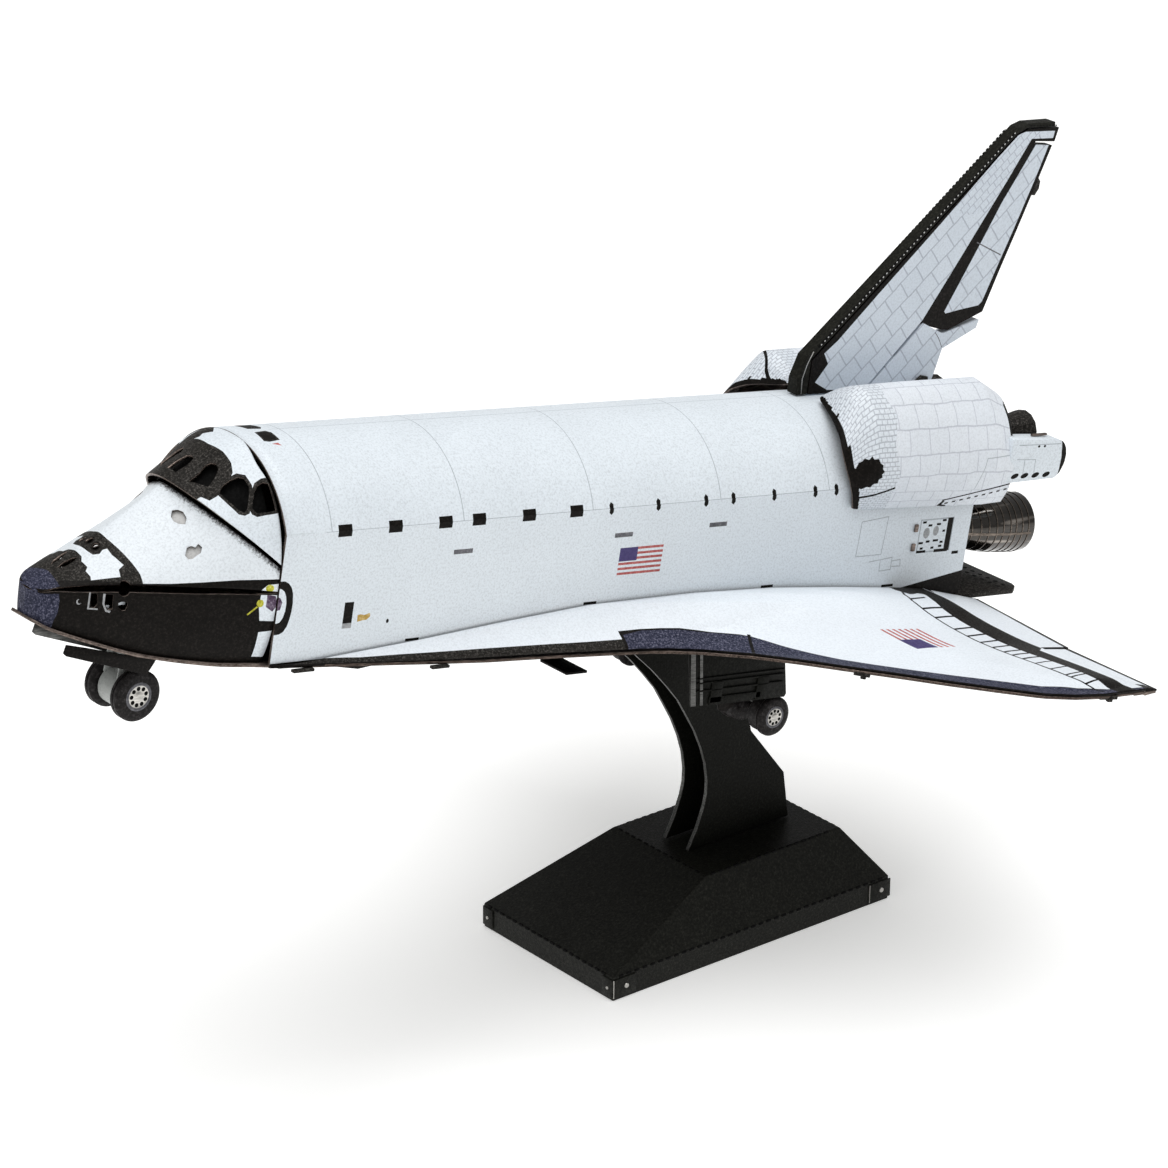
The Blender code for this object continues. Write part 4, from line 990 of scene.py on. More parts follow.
def make_wing(tag, side):
    def skin(u, v):
        y = ROOT_Y + (TIP_Y - ROOT_Y) * v
        front = lead_x(y)
        x = front + u ** 1.35 * (HINGE_X - front)
        return (x, side * y, wing_top(x, y))

    def printed(slot, points):
        mark(bm, to_side(side, points), "top", slot)

    def lined(points, width):
        strokes(bm, to_side(side, points), width, "top", 2)

    bm = face_away(sheet(70, 90, skin), (40, side * 20, -40))
    # slots: 0 white, 1 slate, 2 black, 3 speckled black, 4 red, 5 blue, 6 edge
    printed(3, STRAKE_EDGE)
    printed(2, SLATE_INNER + SLATE_OUTER)
    inner = [(x + 0.10, y + 0.16) for x, y in SLATE_INNER]
    printed(1, [(31.6, 12.5)] + inner[1:] + SLATE_OUTER[:-1] + [(31.35, 40)])
    lined([(43.95, 15.6), (42.2, 18.6)], 0.32)
    printed(2, BAND_FRONT + BAND_REAR)
    printed(2, BAND_ROOT)
    lined(LADDER, 0.24)
    for k, y in enumerate(RUNGS):
        start = along([(b, a) for a, b in LADDER], y)
        lined([(start + 0.05, y), (68.1, y - (0.9 if k == 0 else 0.5))], 0.3 if k < 10 else 0.22)
    # plain stripes and a plain block
    for k in range(7):
        a = k / 6.45
        printed(4, [on_patch(a, 0), on_patch(a + 0.07, 0), on_patch(a + 0.07, 1), on_patch(a, 1)])
    printed(5, [on_patch(0, 0.52), on_patch(0.55, 0.52), on_patch(0.55, 1), on_patch(0, 1)])
    place("wing_upper_sheet_" + tag, bm, [WING_WHITE, SLATE, BLACK, GREY_BLACK, RED, BLUE, BLACK],
          ["wing_upper_skin_" + tag], thick=SHEET, slot="white_print")

    def underside(u, v):
        y = 9.2 + (TIP_Y - 9.2) * v
        front = max(lead_x(y) - 0.25, BAY_FRONT + 0.1)
        x = front + u ** 1.35 * (HINGE_X - front)
        return (x, side * y, along(WING_LOW, y) + strake_rise(x))

    bm = face_away(sheet(40, 50, underside), (40, side * 20, 0))
    # its rim takes the darker copy of the cut edge, painted shade under the leading edge
    place("wing_lower_sheet_" + tag, bm, [TILED_BLACK, SHADED_EDGE], ["wing_lower_skin_" + tag], thick=SHEET,
          slot="black_print")

    for part, y0, y1, r0, r1 in ELEVONS:
        def flap_top(u, v):
            y = y0 + (y1 - y0) * v
            x = HINGE_X - 0.10 + (r0 + (r1 - r0) * v - HINGE_X + 0.10) * u
            high = wing_top(HINGE_X, y) - 0.02
            return (x, side * y, high + (along(WING_LOW, y) + 0.25 - high) * u)

        def flap_low(u, v):
            y = y0 + (y1 - y0) * v
            x = HINGE_X + 0.15 + (r0 + (r1 - r0) * v - 0.2 - HINGE_X - 0.15) * u
            return (x, side * y, along(WING_LOW, y) - 0.25 + 0.15 * u)

        bm = face_away(sheet(12, 30, flap_top), (74, side * 20, -30))
        low0, low1 = r0 - 0.62, r1 - 0.50
        printed(1, [(low0, y0 - 0.1), (low0 + 1.2, y0 - 0.1), (low1 + 1.2, y1 + 0.1), (low1, y1 + 0.1)])
        printed(1, [(70, y1 - 0.22), (80, y1 - 0.22), (80, y1 + 0.2), (70, y1 + 0.2)])
        if part == "inner":
            printed(1, [(71, 9.3), (72.6, 9.3), (72.0, 10.4), (71.4, 11.4), (71, 11.4)])
        else:
            printed(1, [(70, 37.2), (72.6, 37.6), (72.9, 39.2), (70, 39.2)])
        place("elevon_top_sheet_" + part + "_" + tag, bm, [WING_WHITE, BLACK, BLACK],
              ["elevon_" + part + "_" + tag], thick=0.2, slot="white_print")
        bm = face_away(sheet(6, 16, flap_low), (74, side * 20, 0))
        place("elevon_low_sheet_" + part + "_" + tag, bm, [TILED_BLACK, CUT_EDGE], thick=0.12,
              slot="black_print")

    # small folded tabs under the leading edge, and the tip's end piece
    bm = bmesh.new()
    for x, y, z, w in EDGE_TABS:
        if y > 20:
            tab = rounded(block(-0.24, 0.24, -w / 2, w / 2, -0.2, 0.2), 0.07)
            add(tab, rounded(block(-0.3, 0.14, -0.42, 0.1, -0.42, 0.0), 0.08))
            sweep = math.atan2(lead_x(y + 0.3) - lead_x(y - 0.3), 0.6) * -side
            bmesh.ops.transform(tab, matrix=Matrix.Rotation(sweep, 4, 'Z'), verts=tab.verts)
        else:
            tab = rounded(block(-w / 2, w / 2, -0.3, 0.2, -0.16, 0.12), 0.07)
        bmesh.ops.translate(tab, vec=(x, side * y, z), verts=tab.verts)
        add(bm, tab, 0)
    add(bm, rounded(block(70.2, 73.0, side * 38.55, side * 38.95, -17.44, -17.16), 0.06), 1)
    place("wing_edge_tabs_" + tag, bm, [GREY_BLACK, CUT_EDGE], slot="black_print")


FLAP = both([(BODY_AFT - 0.2, -9.1), (84.2, -9.1), (85.1, -8.4), (85.4, -7.7)])


def make_flap():
    bm = rounded(prism(FLAP, 2, -18.6, -18.1), 0.05)
    holes = bmesh.new()
    for row in range(2):
        for k in range(16):
            y = -8.0 + k * 16.0 / 15
            dot = bmesh.ops.create_circle(holes, cap_ends=True, radius=0.24, segments=8)
            bmesh.ops.translate(holes, vec=(83.1 + row * 0.95, y + 0.2 * row, -18.085), verts=dot["verts"])
    add(bm, holes, 1)
    place("body_flap_plate", bm, [GREY_BLACK, DEEP], ["body_flap"], slot="black_print")


# ---------------------------------------------------------------- fin


FIN_HALF, EDGE_HALF, RUDDER_HALF = 0.62, 0.65, 0.5             # half thicknesses
FIN = [(60.9, 0.15), (60.8, 3.4), (82.9, 24.65), (84.1, 25.2), (88.25, 25.38), (87.95, 24.0), (85.4, 24.05),
       (74.3, 6.75), (68.0, 0.15)]
EDGE = [(59.4, 0.15), (59.3, 1.65), (60.0, 3.85), (82.8, 25.35), (84.0, 25.8), (87.6, 25.95), (87.7, 25.5),
        (84.05, 25.4), (82.75, 24.8), (60.65, 3.55), (60.75, 0.15)]
RUDDER = [(73.75, 6.5), (84.75, 23.74), (87.85, 23.6), (86.82, 20.45), (84.95, 15.0), (83.7, 11.5),
          (82.3, 7.3), (78.0, 5.65), (77.0, 5.75)]
FAIRING = [(68.4, 0.15), (74.5, 6.5), (76.3, 5.75), (77.4, 5.35), (81.9, 6.55), (81.7, 5.75), (77.6, 3.85),
           (77.2, 2.1), (76.7, 0.15)]
# prints of the fin, in x and z, a slot with each
FIN_PRINTS = (
    (2, [(75.6, 18.6), (77.3, 16.9), (79.5, 17.2), (81.5, 18.1), (85.4, 24.0), (86.2, 26.0), (83.0, 26.0)]),
    (1, [(59, -0.2), (59, 4), (83, 26), (90, 26.2), (90, 25.0), (87.8, 25.05), (83.9, 25.0), (82.9, 24.75),
         (80.9, 22.75), (74.5, 16.15), (68.1, 9.75), (63.7, 5.25), (62.2, 4.05), (62.9, 3.0), (61.6, 1.25),
         (63.3, 0.45), (66.5, 0.3), (66.5, -0.2)]),
    (1, [(87.85, 25.6), (90, 25.6), (90, 23.5), (87.55, 23.5)]),
    (1, [(84.8, 24.3), (88.1, 24.34), (88.1, 23.7), (85.6, 23.7), (85.7, 24.1), (74.7, 6.5), (74.2, 6.6),
         (76.95, 11.1), (82.5, 20.3)]))
RUDDER_PRINTS = (
    (1, [(74, 5), (90, 5), (90, 25), (74, 25)]),
    (0, [(85.8, 24.0), (87.5, 24.0), (86.4, 20.5), (84.5, 15.1), (83.2, 11.6), (82.0, 8.3), (81.6, 7.95),
         (79.1, 7.6), (77.35, 7.3), (77.15, 7.5), (78.8, 10.8), (80.6, 14.4), (82.4, 18.1), (84.2, 21.2)]))
SLIT_LINE = (Vector((61.1, 4.75)), Vector((82.2, 25.05)))
SLITS, TIP_SLITS = 58, 9
CREASE = [(60.0, 0.25), (59.85, 1.7), (60.2, 3.1), (60.75, 4.3)]
FIN_TABS = (([(86.5, 20.35), (86.95, 20.4), (87.35, 20.0), (87.32, 19.25), (86.9, 18.6), (86.0, 18.7)],
             -0.3, 0.3),
            ([(73.7, 0.2), (75.2, 1.35), (76.1, 1.2), (76.2, 0.2)], -0.9, -0.66))   # outline, y0, y1


def plate(outline, half):
    bm = prism(outline, 1, -half, half)
    bmesh.ops.triangulate(bm, faces=[f for f in bm.faces if len(f.verts) > 4])
    return bm


def flat_only(half):
    return lambda c: abs(abs(c.y) - half) < 1e-3


def strip(a, b, width):
    """The four corners of a strip from a to b."""
    d = (b - a).normalized()
    n = Vector((-d.y, d.x)) * width / 2
    return [a + n, b + n, b - n, a - n]


def make_fin():
    bm = plate(FIN, FIN_HALF)
    # slots: 0 quilted white, 1 black, 2 small bricks
    marks(bm, "side", FIN_PRINTS, flat_only(FIN_HALF))
    for f in bm.faces:
        mid = f.calc_center_median()
        if abs(f.normal.y) < 0.5 and (f.normal.x < 0 or f.normal.z > 0.8 or mid.z > 7.0):
            f.material_index = 1
    place("fin_plate", bm, [FIN_WHITE, BLACK, FIN_BRICKS], ["fin_panel"], smooth=None, bevel=0.05,
          slot="white_print")
    place("fin_edge_fold", plate(EDGE, EDGE_HALF), [FOLD_BLACK], ["fin_leading_edge"], smooth=None,
          bevel=0.06, slot="black_print")

    # folded-over slits along the edge, each a dark dash with a bright lip
    start, run = SLIT_LINE[0], SLIT_LINE[1] - SLIT_LINE[0]
    d = run.normalized()
    n = Vector((-d.y, d.x))
    bm = bmesh.new()
    for side in (-1, 1):
        for k in range(SLITS):
            at = start + run * ((k + 0.5) / SLITS)
            for slot, centre, long, width, out in ((1, at - n * 0.19, 0.32, 0.26, 0.664),
                                                   (0, at - n * 0.22 + d * 0.25, 0.15, 0.12, 0.67)):
                quad(bm, side, out, strip(centre - d * long / 2, centre + d * long / 2, width), slot)
        for k in range(TIP_SLITS):
            x = 84.3 + 0.42 * k
            quad(bm, side, 0.664, rect(x, x + 0.2, 25.52, 25.66), 1)
    place("fin_edge_slits", bm, [PALE_STEEL, DEEP], smooth=None, slot="bare_steel")
    bm = bmesh.new()
    for side in (-1, 1):
        for a, b in zip(CREASE, CREASE[1:]):
            quad(bm, side, 0.668, strip(Vector(a), Vector(b), 0.1))
    place("fin_edge_crease", bm, [BARE], smooth=None, slot="bare_steel")

    bm = plate(RUDDER, RUDDER_HALF)
    marks(bm, "side", RUDDER_PRINTS, flat_only(RUDDER_HALF))
    strokes(bm, [(80.0, 14.2), (83.4, 12.9)], 0.12, "side", 2, flat_only(RUDDER_HALF))
    for f in bm.faces:
        if abs(f.normal.y) < 0.5:
            f.material_index = 1
    place("rudder_plate", bm, [FIN_WHITE, BLACK, GREY_INK], ["rudder"], smooth=None, bevel=0.04,
          slot="white_print")
    bm = plate(FAIRING, FIN_HALF)
    strokes(bm, [(76.3, 5.5), (76.9, 4.9), (77.5, 4.0)], 0.08, "side", 1, flat_only(FIN_HALF))
    place("fin_fairing_plate", bm, [FIN_WHITE, GREY_INK], ["fin_fairing"], smooth=None, bevel=0.04,
          slot="white_print")
    bm = bmesh.new()
    for outline, y0, y1 in FIN_TABS:
        add(bm, prism(outline, 1, y0, y1))
    place("fin_tail_tabs", rounded(bm, 0.03, 1), [GREY_BLACK], smooth=None, slot="black_print")


# ---------------------------------------------------------------- pods, nozzles and engines


# sections of the pod: its bowed front edge in x, y and z, then x with y and z round the shell
POD_FRONT = [(60.7, 2.6, 0.2), (60.4, 3.4, -0.05), (59.9, 4.6, -0.3), (59.3, 6.2, -0.8), (58.8, 7.8, -1.7),
             (58.6, 8.8, -2.9), (58.8, 9.4, -4.2), (59.2, 9.8, -5.5), (59.6, 9.9, -6.6), (59.9, 9.85, -7.4),
             (60.2, 9.75, -8.2)]
POD = [(60.9, [(2.3, 0.3), (2.95, 0.85), (4.2, 1.35), (5.9, 1.7), (7.5, 1.05), (9.0, -0.8), (9.75, -2.9),
               (10.25, -4.8), (10.3, -6.3), (10.05, -7.3), (9.72, -8.3)]),
       (62.0, [(2.1, 0.3), (2.8, 1.1), (4.2, 1.85), (6.0, 2.5), (7.6, 1.9), (9.2, 0.0), (10.15, -2.5),
               (10.6, -4.6), (10.5, -6.3), (10.15, -7.4), (9.72, -8.4)]),
       (68.0, [(1.9, 0.3), (2.6, 1.15), (4.2, 1.95), (6.0, 2.6), (7.7, 1.95), (9.3, 0.0), (10.3, -2.4),
               (10.75, -4.6), (10.6, -6.5), (10.2, -7.6), (9.72, -8.6)]),
       (77.0, [(1.9, 0.3), (2.6, 1.15), (4.2, 1.95), (6.0, 2.6), (7.7, 1.95), (9.3, 0.0), (10.3, -2.4),
               (10.75, -4.6), (10.6, -6.9), (10.2, -8.0), (9.72, -8.9)]),
       (79.6, [(1.95, -0.2), (2.6, 0.45), (4.2, 1.0), (6.0, 1.3), (7.6, 0.8), (9.1, -0.8), (10.1, -2.9),
               (10.65, -4.9), (10.5, -7.1), (10.15, -8.0), (9.72, -8.8)])]
POD_STOPS = (0.0, 0.09, 0.17, 0.42, 0.86, 1.0)                 # where the sections lie along the sheet
POD_GIRTH = 18.0
# prints of the pod, in x and z, a slot with each
BRICK_FIELD = [(58, 3), (64.6, 3), (63.9, 1.9), (64.6, 0.4), (64.0, -2.2), (64.7, -4.9), (64.2, -6.6),
               (64.4, -9.5), (58, -9.5)]
BLOT = [(59.2, -4.1), (59.7, -4.3), (60.0, -3.75), (60.35, -3.6), (60.6, -3.35), (61.0, -3.45), (61.3, -3.1),
        (61.5, -3.4), (61.9, -3.3), (62.1, -3.7), (62.45, -3.9), (62.4, -4.25), (62.65, -4.5),
        (62.35, -4.75), (62.45, -5.05), (62.05, -5.2), (62.0, -5.6), (61.6, -5.65), (61.3, -6.0),
        (60.9, -5.95), (60.4, -6.2), (60.2, -6.1), (60.3, -7.5), (59.2, -7.6)]
# the first line, dark along the front part's lower fold, is painted shadow in the gap there; the other two
# are print
POD_LINES_AND_FOLD_SHADOW = ((0.2, 2, [(60.1, -7.1), (61.7, -6.85), (63.2, -6.5), (64.3, -6.2)]),   # width, slot, line
             (0.09, 3, [(79.6, -3.9), (75.9, -4.0), (75.6, -5.1), (74.9, -6.9)]),
             (0.14, 2, [(71.4, -8.0), (74.2, -7.55), (76.6, -7.15), (79.6, -6.75)]))
POD_ENDS = ((2, [(71.0, -8.6), (71.5, -8.0), (71.75, -8.1), (71.6, -8.5), (72.2, -8.6), (72.2, -8.8)]),
            (2, [(79.15, 3), (80, 3), (80, -2.2), (79.3, -2.2)]))
FAR_BAND = [(62.1, 7.4), (61.5, 6.5), (60.9, 5.6), (60.5, 5.0), (60.3, 4.4), (60.25, 3.9)]
THRUSTER_BOX = [(79.9, -2.3), (85.1, -2.6), (85.6, -2.8), (85.9, -3.1), (86.15, -3.5), (86.3, -4.1),
                (86.28, -4.7), (86.2, -5.1), (85.8, -5.9), (85.5, -6.2), (85.1, -6.45), (79.9, -6.7)]
BOX_CAP = [(85.15, -2), (87, -2), (87, -7), (85.35, -7), (85.6, -5.5), (85.65, -4.4), (85.5, -3.4)]
BOX_LINES = ((0.09, [(79.9, -2.95), (85.2, -3.0)]), (0.09, [(79.9, -4.35), (82.3, -4.45), (82.35, -5.8)]),
             (0.08, [(80.9, -4.4), (80.95, -5.8)]))
NOZZLE_WALL = [(0.0, 1.2), (1.2, 1.3), (2.6, 1.6), (3.9, 1.9), (4.7, 2.0), (4.7, 1.78), (3.9, 1.68),
               (2.6, 1.38), (1.4, 1.05), (0.7, 0.02), (0.0, 0.02)]


def rounded_through(row, share):
    """A point on a soft curve through a row of eleven points."""
    across = share * 10
    k = min(9, int(across))
    s = across - k
    a, b = row[k], row[k + 1]
    before, after = row[max(0, k - 1)], row[min(10, k + 2)]
    p = 0.5 * (2 * a + (b - before) * s + (2 * before - 5 * a + 4 * b - after) * s * s
               + (3 * a - before - 3 * b + after) * s ** 3)
    return p.lerp(a.lerp(b, s), 0.35)


def make_pod(tag, side):
    rings = [[Vector(p) for p in POD_FRONT]] + [[Vector((x, y, z)) for y, z in ring] for x, ring in POD]

    def skin(u, v):
        r = max(k for k in range(5) if POD_STOPS[k] <= u + 1e-9)
        t = (u - POD_STOPS[r]) / (POD_STOPS[r + 1] - POD_STOPS[r])
        p = rounded_through([a.lerp(b, t) for a, b in zip(rings[r], rings[r + 1])], v)
        return (p.x, side * p.y, p.z)

    bm = face_away(sheet(100, 60, skin, POD_GIRTH), (70, side * 6, -3))
    # slots: 0 tiles, 1 bricks, 2 black, 3 grey line, 4 plain white, 5 cut edge
    mark(bm, BRICK_FIELD, "side", 1)
    lay = bm.loops.layers.uv["lay"]
    for f in bm.faces:
        row = sum(loop[lay].uv.y for loop in f.loops) / len(f.loops) / (POD_GIRTH / 10)
        front = along([(k, p[0]) for k, p in enumerate(POD_FRONT)], row)
        if f.calc_center_median().x - front < (0.34 if row < 3 else 0.46 if row < 5 else 0.66):
            f.material_index = 2
    if side > 0:
        strokes(bm, FAR_BAND, 0.24, "top", 2, lambda c: c.z > -0.6)

    def low(c):
        return c.z < 0.5 and abs(c.y) > 5

    mark(bm, BLOT, "side", 2, low)
    # printed lines, and a painted shadow line along the front part's lower fold
    for width, slot, line in POD_LINES_AND_FOLD_SHADOW:
        strokes(bm, line, width, "side", slot, low)
    for k in range(9):
        x = 71.9 + 0.88 * k
        z = -8.4 + 0.155 * k * 0.88
        mark(bm, [(x, z - 0.1), (x + 0.42, z - 0.04), (x + 0.42, z + 0.14), (x, z + 0.08)], "side", 2, low)
    marks(bm, "side", POD_ENDS, low)
    place("oms_pod_sheet_" + tag, bm, [POD_TILES, POD_BRICKS, BLACK, FAINT, WHITE, CUT_EDGE],
          ["oms_pod_" + tag], thick=SHEET, smooth=40, slot="white_print")

    # thruster box at the pod's tail
    bm = prism(THRUSTER_BOX, 1, side * 10.9, side * 8.75)
    for v in bm.verts:
        if v.co.x < 80.0:
            v.co.x -= 0.9
            v.co.y -= side * 0.28 if abs(v.co.y) > 10 else 0.0
    rounded(bm, 0.12)
    flat = (lambda c: abs(c.y) > 10.6)
    for x in (79.95, 81.2, 82.6, 84.0):
        mark(bm, round_outline(x, -6.0, 0.5, 0.24, 12, 0.3), "side", 1, flat)
    for x in (82.45, 83.2):
        mark(bm, round_outline(x, -3.15, 0.16, 0.13, 8), "side", 1, flat)
    mark(bm, BOX_CAP, "side", 1)
    for width, line in BOX_LINES:
        strokes(bm, line, width, "side", 2, flat)
    place("thruster_box_" + tag + "_case", bm, [WHITE, BLACK, FAINT], ["thruster_box_" + tag], smooth=30,
          slot="white_print")
    bm = block(82.2, 84.2, side * 9.6, side * 9.9, -2.42, -2.2)
    place("thruster_box_latch_" + tag, rounded(bm, 0.05), [CUT_EDGE], slot="bare_steel")

    # orbital nozzle: rolled in flats
    bm = turned(NOZZLE_WALL, 14, [(lambda x, r: x > 4.69, 1)])
    point_to(bm, (1, 0, 0), (79.9, side * 6.2, -3.0))
    place("orbital_nozzle_" + tag + "_bell", bm, [GREY_BLACK, CUT_EDGE], ["orbital_nozzle_" + tag], smooth=12,
          bevel=0.03, slot="black_print")


# name, y, z, downward tilt and share of the full length
ENGINES = (("upper", 0.0, -5.7, 0.03, 0.94), ("port", -4.4, -12.95, 0.0, 1.0),
           ("starboard", 4.4, -12.95, 0.0, 1.0))
BELL_LONG = 10.6
BELL_OUT = [(0.0, 1.4), (1.7, 1.65), (3.4, 2.1), (5.8, 2.6), (8.9, 2.87), (10.6, 2.92)]
BELL_IN = [(10.6, 2.65), (8.9, 2.6), (5.8, 2.33), (3.4, 1.83), (1.8, 1.35), (1.2, 0.02), (0.0, 0.02)]
HOOPS = (1.9, 3.0, 4.0, 4.9, 5.8, 6.6, 7.5, 8.2, 9.0, 9.8)
THROAT = ((1.25, 0.02), (1.35, 1.2), (1.3, 1.2), (1.2, 0.02))
STRAP_LONG = 1.75


def make_engine(name, y, z, tilt, share):
    stations = [BELL_LONG * k / 29 for k in range(30)]
    outline = [(x * share, eased(BELL_OUT, x)) for x in stations] + [(a * share, r) for a, r in BELL_IN]
    bm = turned(outline, 36, [(lambda x, r: x > (BELL_LONG - 0.05) * share, 1)])
    for x in HOOPS:
        r = eased(BELL_OUT, x)
        add(bm, turned([((x - 0.07) * share, r - 0.05), ((x - 0.05) * share, r + 0.05),
                        ((x + 0.05) * share, r + 0.05), ((x + 0.07) * share, r - 0.05)], 36), 1)
    # lengthwise seam straps
    for degrees in (95, 170, 235, 320):
        for k in range(5):
            x0, x1 = 1.4 + STRAP_LONG * k, 1.4 + STRAP_LONG * (k + 1)
            r0, r1 = eased(BELL_OUT, x0), eased(BELL_OUT, x1)
            part = block(-0.88, 0.88, -0.12, 0.12, -0.03, 0.05)
            bmesh.ops.scale(part, vec=(share, 1, 1), verts=part.verts)
            turn = (Matrix.Rotation(math.radians(degrees), 4, 'X')
                    @ Matrix.Translation(((x0 + x1) / 2 * share, 0, (r0 + r1) / 2))
                    @ Matrix.Rotation(-math.atan2(r1 - r0, x1 - x0), 4, 'Y'))
            bmesh.ops.transform(part, matrix=turn, verts=part.verts)
            add(bm, part, 1)
    # inner dark throat plate
    add(bm, turned([(a * share, r) for a, r in THROAT], 24), 2)
    point_to(bm, (1, 0, tilt), (BODY_AFT + 0.4, y, z))
    place("main_engine_" + name + "_bell", bm, [BRONZE, HOOP, DEEP], ["main_engine_" + name],
          slot="bronze_steel")


# ---------------------------------------------------------------- landing gear


NOSE_WHEEL = (-13.0, 0.0, -22.2)
MAIN_WHEEL = (51.4, 10.0, -26.7)                               # starboard
NOSE_TYRE, MAIN_TYRE = (2.3, 1.2, 1.95), (1.9, 0.8, 2.6)       # radius, width, distance from the middle
NOSE_DRUM = ((1.2, 0.4), (1.25, 0.5))                          # axle: distance from the middle, radius
MAIN_DRUM = ((0.5, 0.35), (0.5, 0.9), (1.15, 0.9), (1.15, 1.68), (1.25, 1.76))
HUB_HOLES = 9
NOSE_DOOR = [(-21.2, -16.75), (-19.1, -17.2), (-15.1, -18.15), (-11.8, -18.65), (-12.0, -19.1),
             (-12.7, -20.2), (-15.3, -19.4), (-21.1, -17.75), (-21.4, -17.5)]
# slot, bevel, then the box's ends
NOSE_LEG = ((0, 0.12, (-13.55, -12.45, -0.55, 0.55, -21.5, -18.3)),
            (1, 0.06, (-13.75, -13.5, -0.9, 0.9, -21.3, -18.4)),
            (0, 0.10, (-13.3, -12.7, -0.75, 0.75, -21.7, -21.0)))
FORK = [(-14.2, -18.4), (-11.9, -18.9), (-11.8, -20.6), (-12.2, -21.7), (-13.9, -21.72), (-14.4, -20.9)]
LEG_DRUM = [(-1.12, 0.52), (-1.12, 1.72), (1.12, 1.72), (1.12, 0.52)]
MAIN_DOOR = [(39.1, -18.95), (50.8, -18.95), (50.95, -19.7), (50.8, -20.0), (51.3, -21.5), (51.98, -24.3),
             (51.8, -24.6), (40.4, -24.55)]
MAIN_BAR = [(46.4, -24.4), (50.9, -24.4), (50.9, -24.75), (48.2, -24.85), (47.9, -26.0), (47.2, -26.5),
            (46.3, -26.3), (45.9, -25.4)]
BRACKET = [(1.95, -19.2), (1.95, -24.9), (-1.95, -24.9), (-1.95, -24.65), (1.7, -24.65), (1.7, -19.2)]


def tyre_outline(radius, width):
    """Section of a tyre with a groove round its tread, as (along, radius)."""
    far = width / 2
    half = [(far, 0.50 * radius), (far, 0.80 * radius), (far - 0.05, 0.88 * radius),
            (far - 0.14, 0.96 * radius), (far - 0.26, radius), (0.08, radius), (0.06, 0.965 * radius)]
    return [(-a, r) for a, r in half] + half[::-1]


def make_wheels(name, at, size, drum, body, node_name, axle_slot):
    radius, width, apart = size
    # slots: 0 tyre, 1 rim, 2 hub, 3 holes, 4 axle
    bm = bmesh.new()
    for side in (-1, 1):
        tyre = turned(tyre_outline(radius, width), 48)
        bmesh.ops.translate(tyre, vec=(side * apart, 0, 0), verts=tyre.verts)
        add(bm, tyre, 0)
        for face in (-1, 1):
            inner = face != side
            out = side * apart + face * width / 2
            disc = turned([(0.0, 0.02), (0.0, radius * 0.52), (0.03, radius * 0.56), (0.06, radius * 0.52),
                           (0.07, radius * 0.47), (0.035, radius * 0.44), (0.035, radius * 0.2),
                           (0.09, radius * 0.16), (0.10, 0.02)], 40,
                          [(lambda x, r: r < radius * 0.45, 4 if inner else 2),
                           (lambda x, r: r >= radius * 0.45, 0 if inner else 1)])
            if face < 0:
                bmesh.ops.scale(disc, vec=(-1, 1, 1), verts=disc.verts)
                bmesh.ops.reverse_faces(disc, faces=disc.faces)
            bmesh.ops.translate(disc, vec=(out - face * 0.03, 0, 0), verts=disc.verts)
            add(bm, disc)
            for k in range(0 if inner else HUB_HOLES):
                a = math.tau * k / HUB_HOLES
                reach_out = radius * 0.325
                hole = bmesh.new()
                bmesh.ops.create_circle(hole, cap_ends=True, radius=radius * 0.085, segments=12)
                bmesh.ops.rotate(hole, cent=(0, 0, 0), matrix=Matrix.Rotation(math.radians(90), 3, 'Y'),
                                 verts=hole.verts)
                bmesh.ops.translate(hole, vec=(out + face * 0.012, reach_out * math.cos(a),
                                               reach_out * math.sin(a)), verts=hole.verts)
                hole.normal_update()
                if any(f.normal.x * face < 0 for f in hole.faces):
                    bmesh.ops.reverse_faces(hole, faces=hole.faces)
                add(bm, hole, 3)
    # axle, thickening to a drum behind each wheel
    half = list(drum) + [(apart, drum[-1][1])]
    outline = [(-a, r) for a, r in reversed(half)] + half
    add(bm, turned([(-apart, 0.02)] + outline + [(apart, 0.02)], 36), axle_slot)
    point_to(bm, (0, 1, 0), at)
    place(name, bm, [TYRE, GREY_INK, BARE, DEEP, GUN_GREY], [node_name], body=body, slot="black_print")


def make_nose_gear():
    for tag, side, shift, look in (("port", -1, -0.05, BLACK), ("starboard", 1, 0.5, GUN_GREY)):
        bm = prism([(x + shift, z) for x, z in NOSE_DOOR], 1, side * 2.9, side * 2.68)
        place("nose_door_leaf_" + tag, rounded(bm, 0.05), [look], ["nose_gear_door_" + tag],
              slot="black_print")
    bm = bmesh.new()
    for slot, width, ends in NOSE_LEG:
        add(bm, rounded(block(*ends), width), slot)
    for y in (-1.02, 1.02):
        add(bm, rounded(prism(FORK, 1, y - 0.07, y + 0.07), 0.04), 2)
    add(bm, point_to(turned(LEG_DRUM, 40), (0, 1, 0), NOSE_WHEEL), 2)
    place("nose_leg_fold", bm, [GUN_GREY, BARE_GREY, PALE_LEG], ["nose_gear_leg"], slot="bare_steel")
    make_wheels("nose_wheel_set", NOSE_WHEEL, NOSE_TYRE, NOSE_DRUM, "nose_wheel_pair", "nose_wheels", 4)


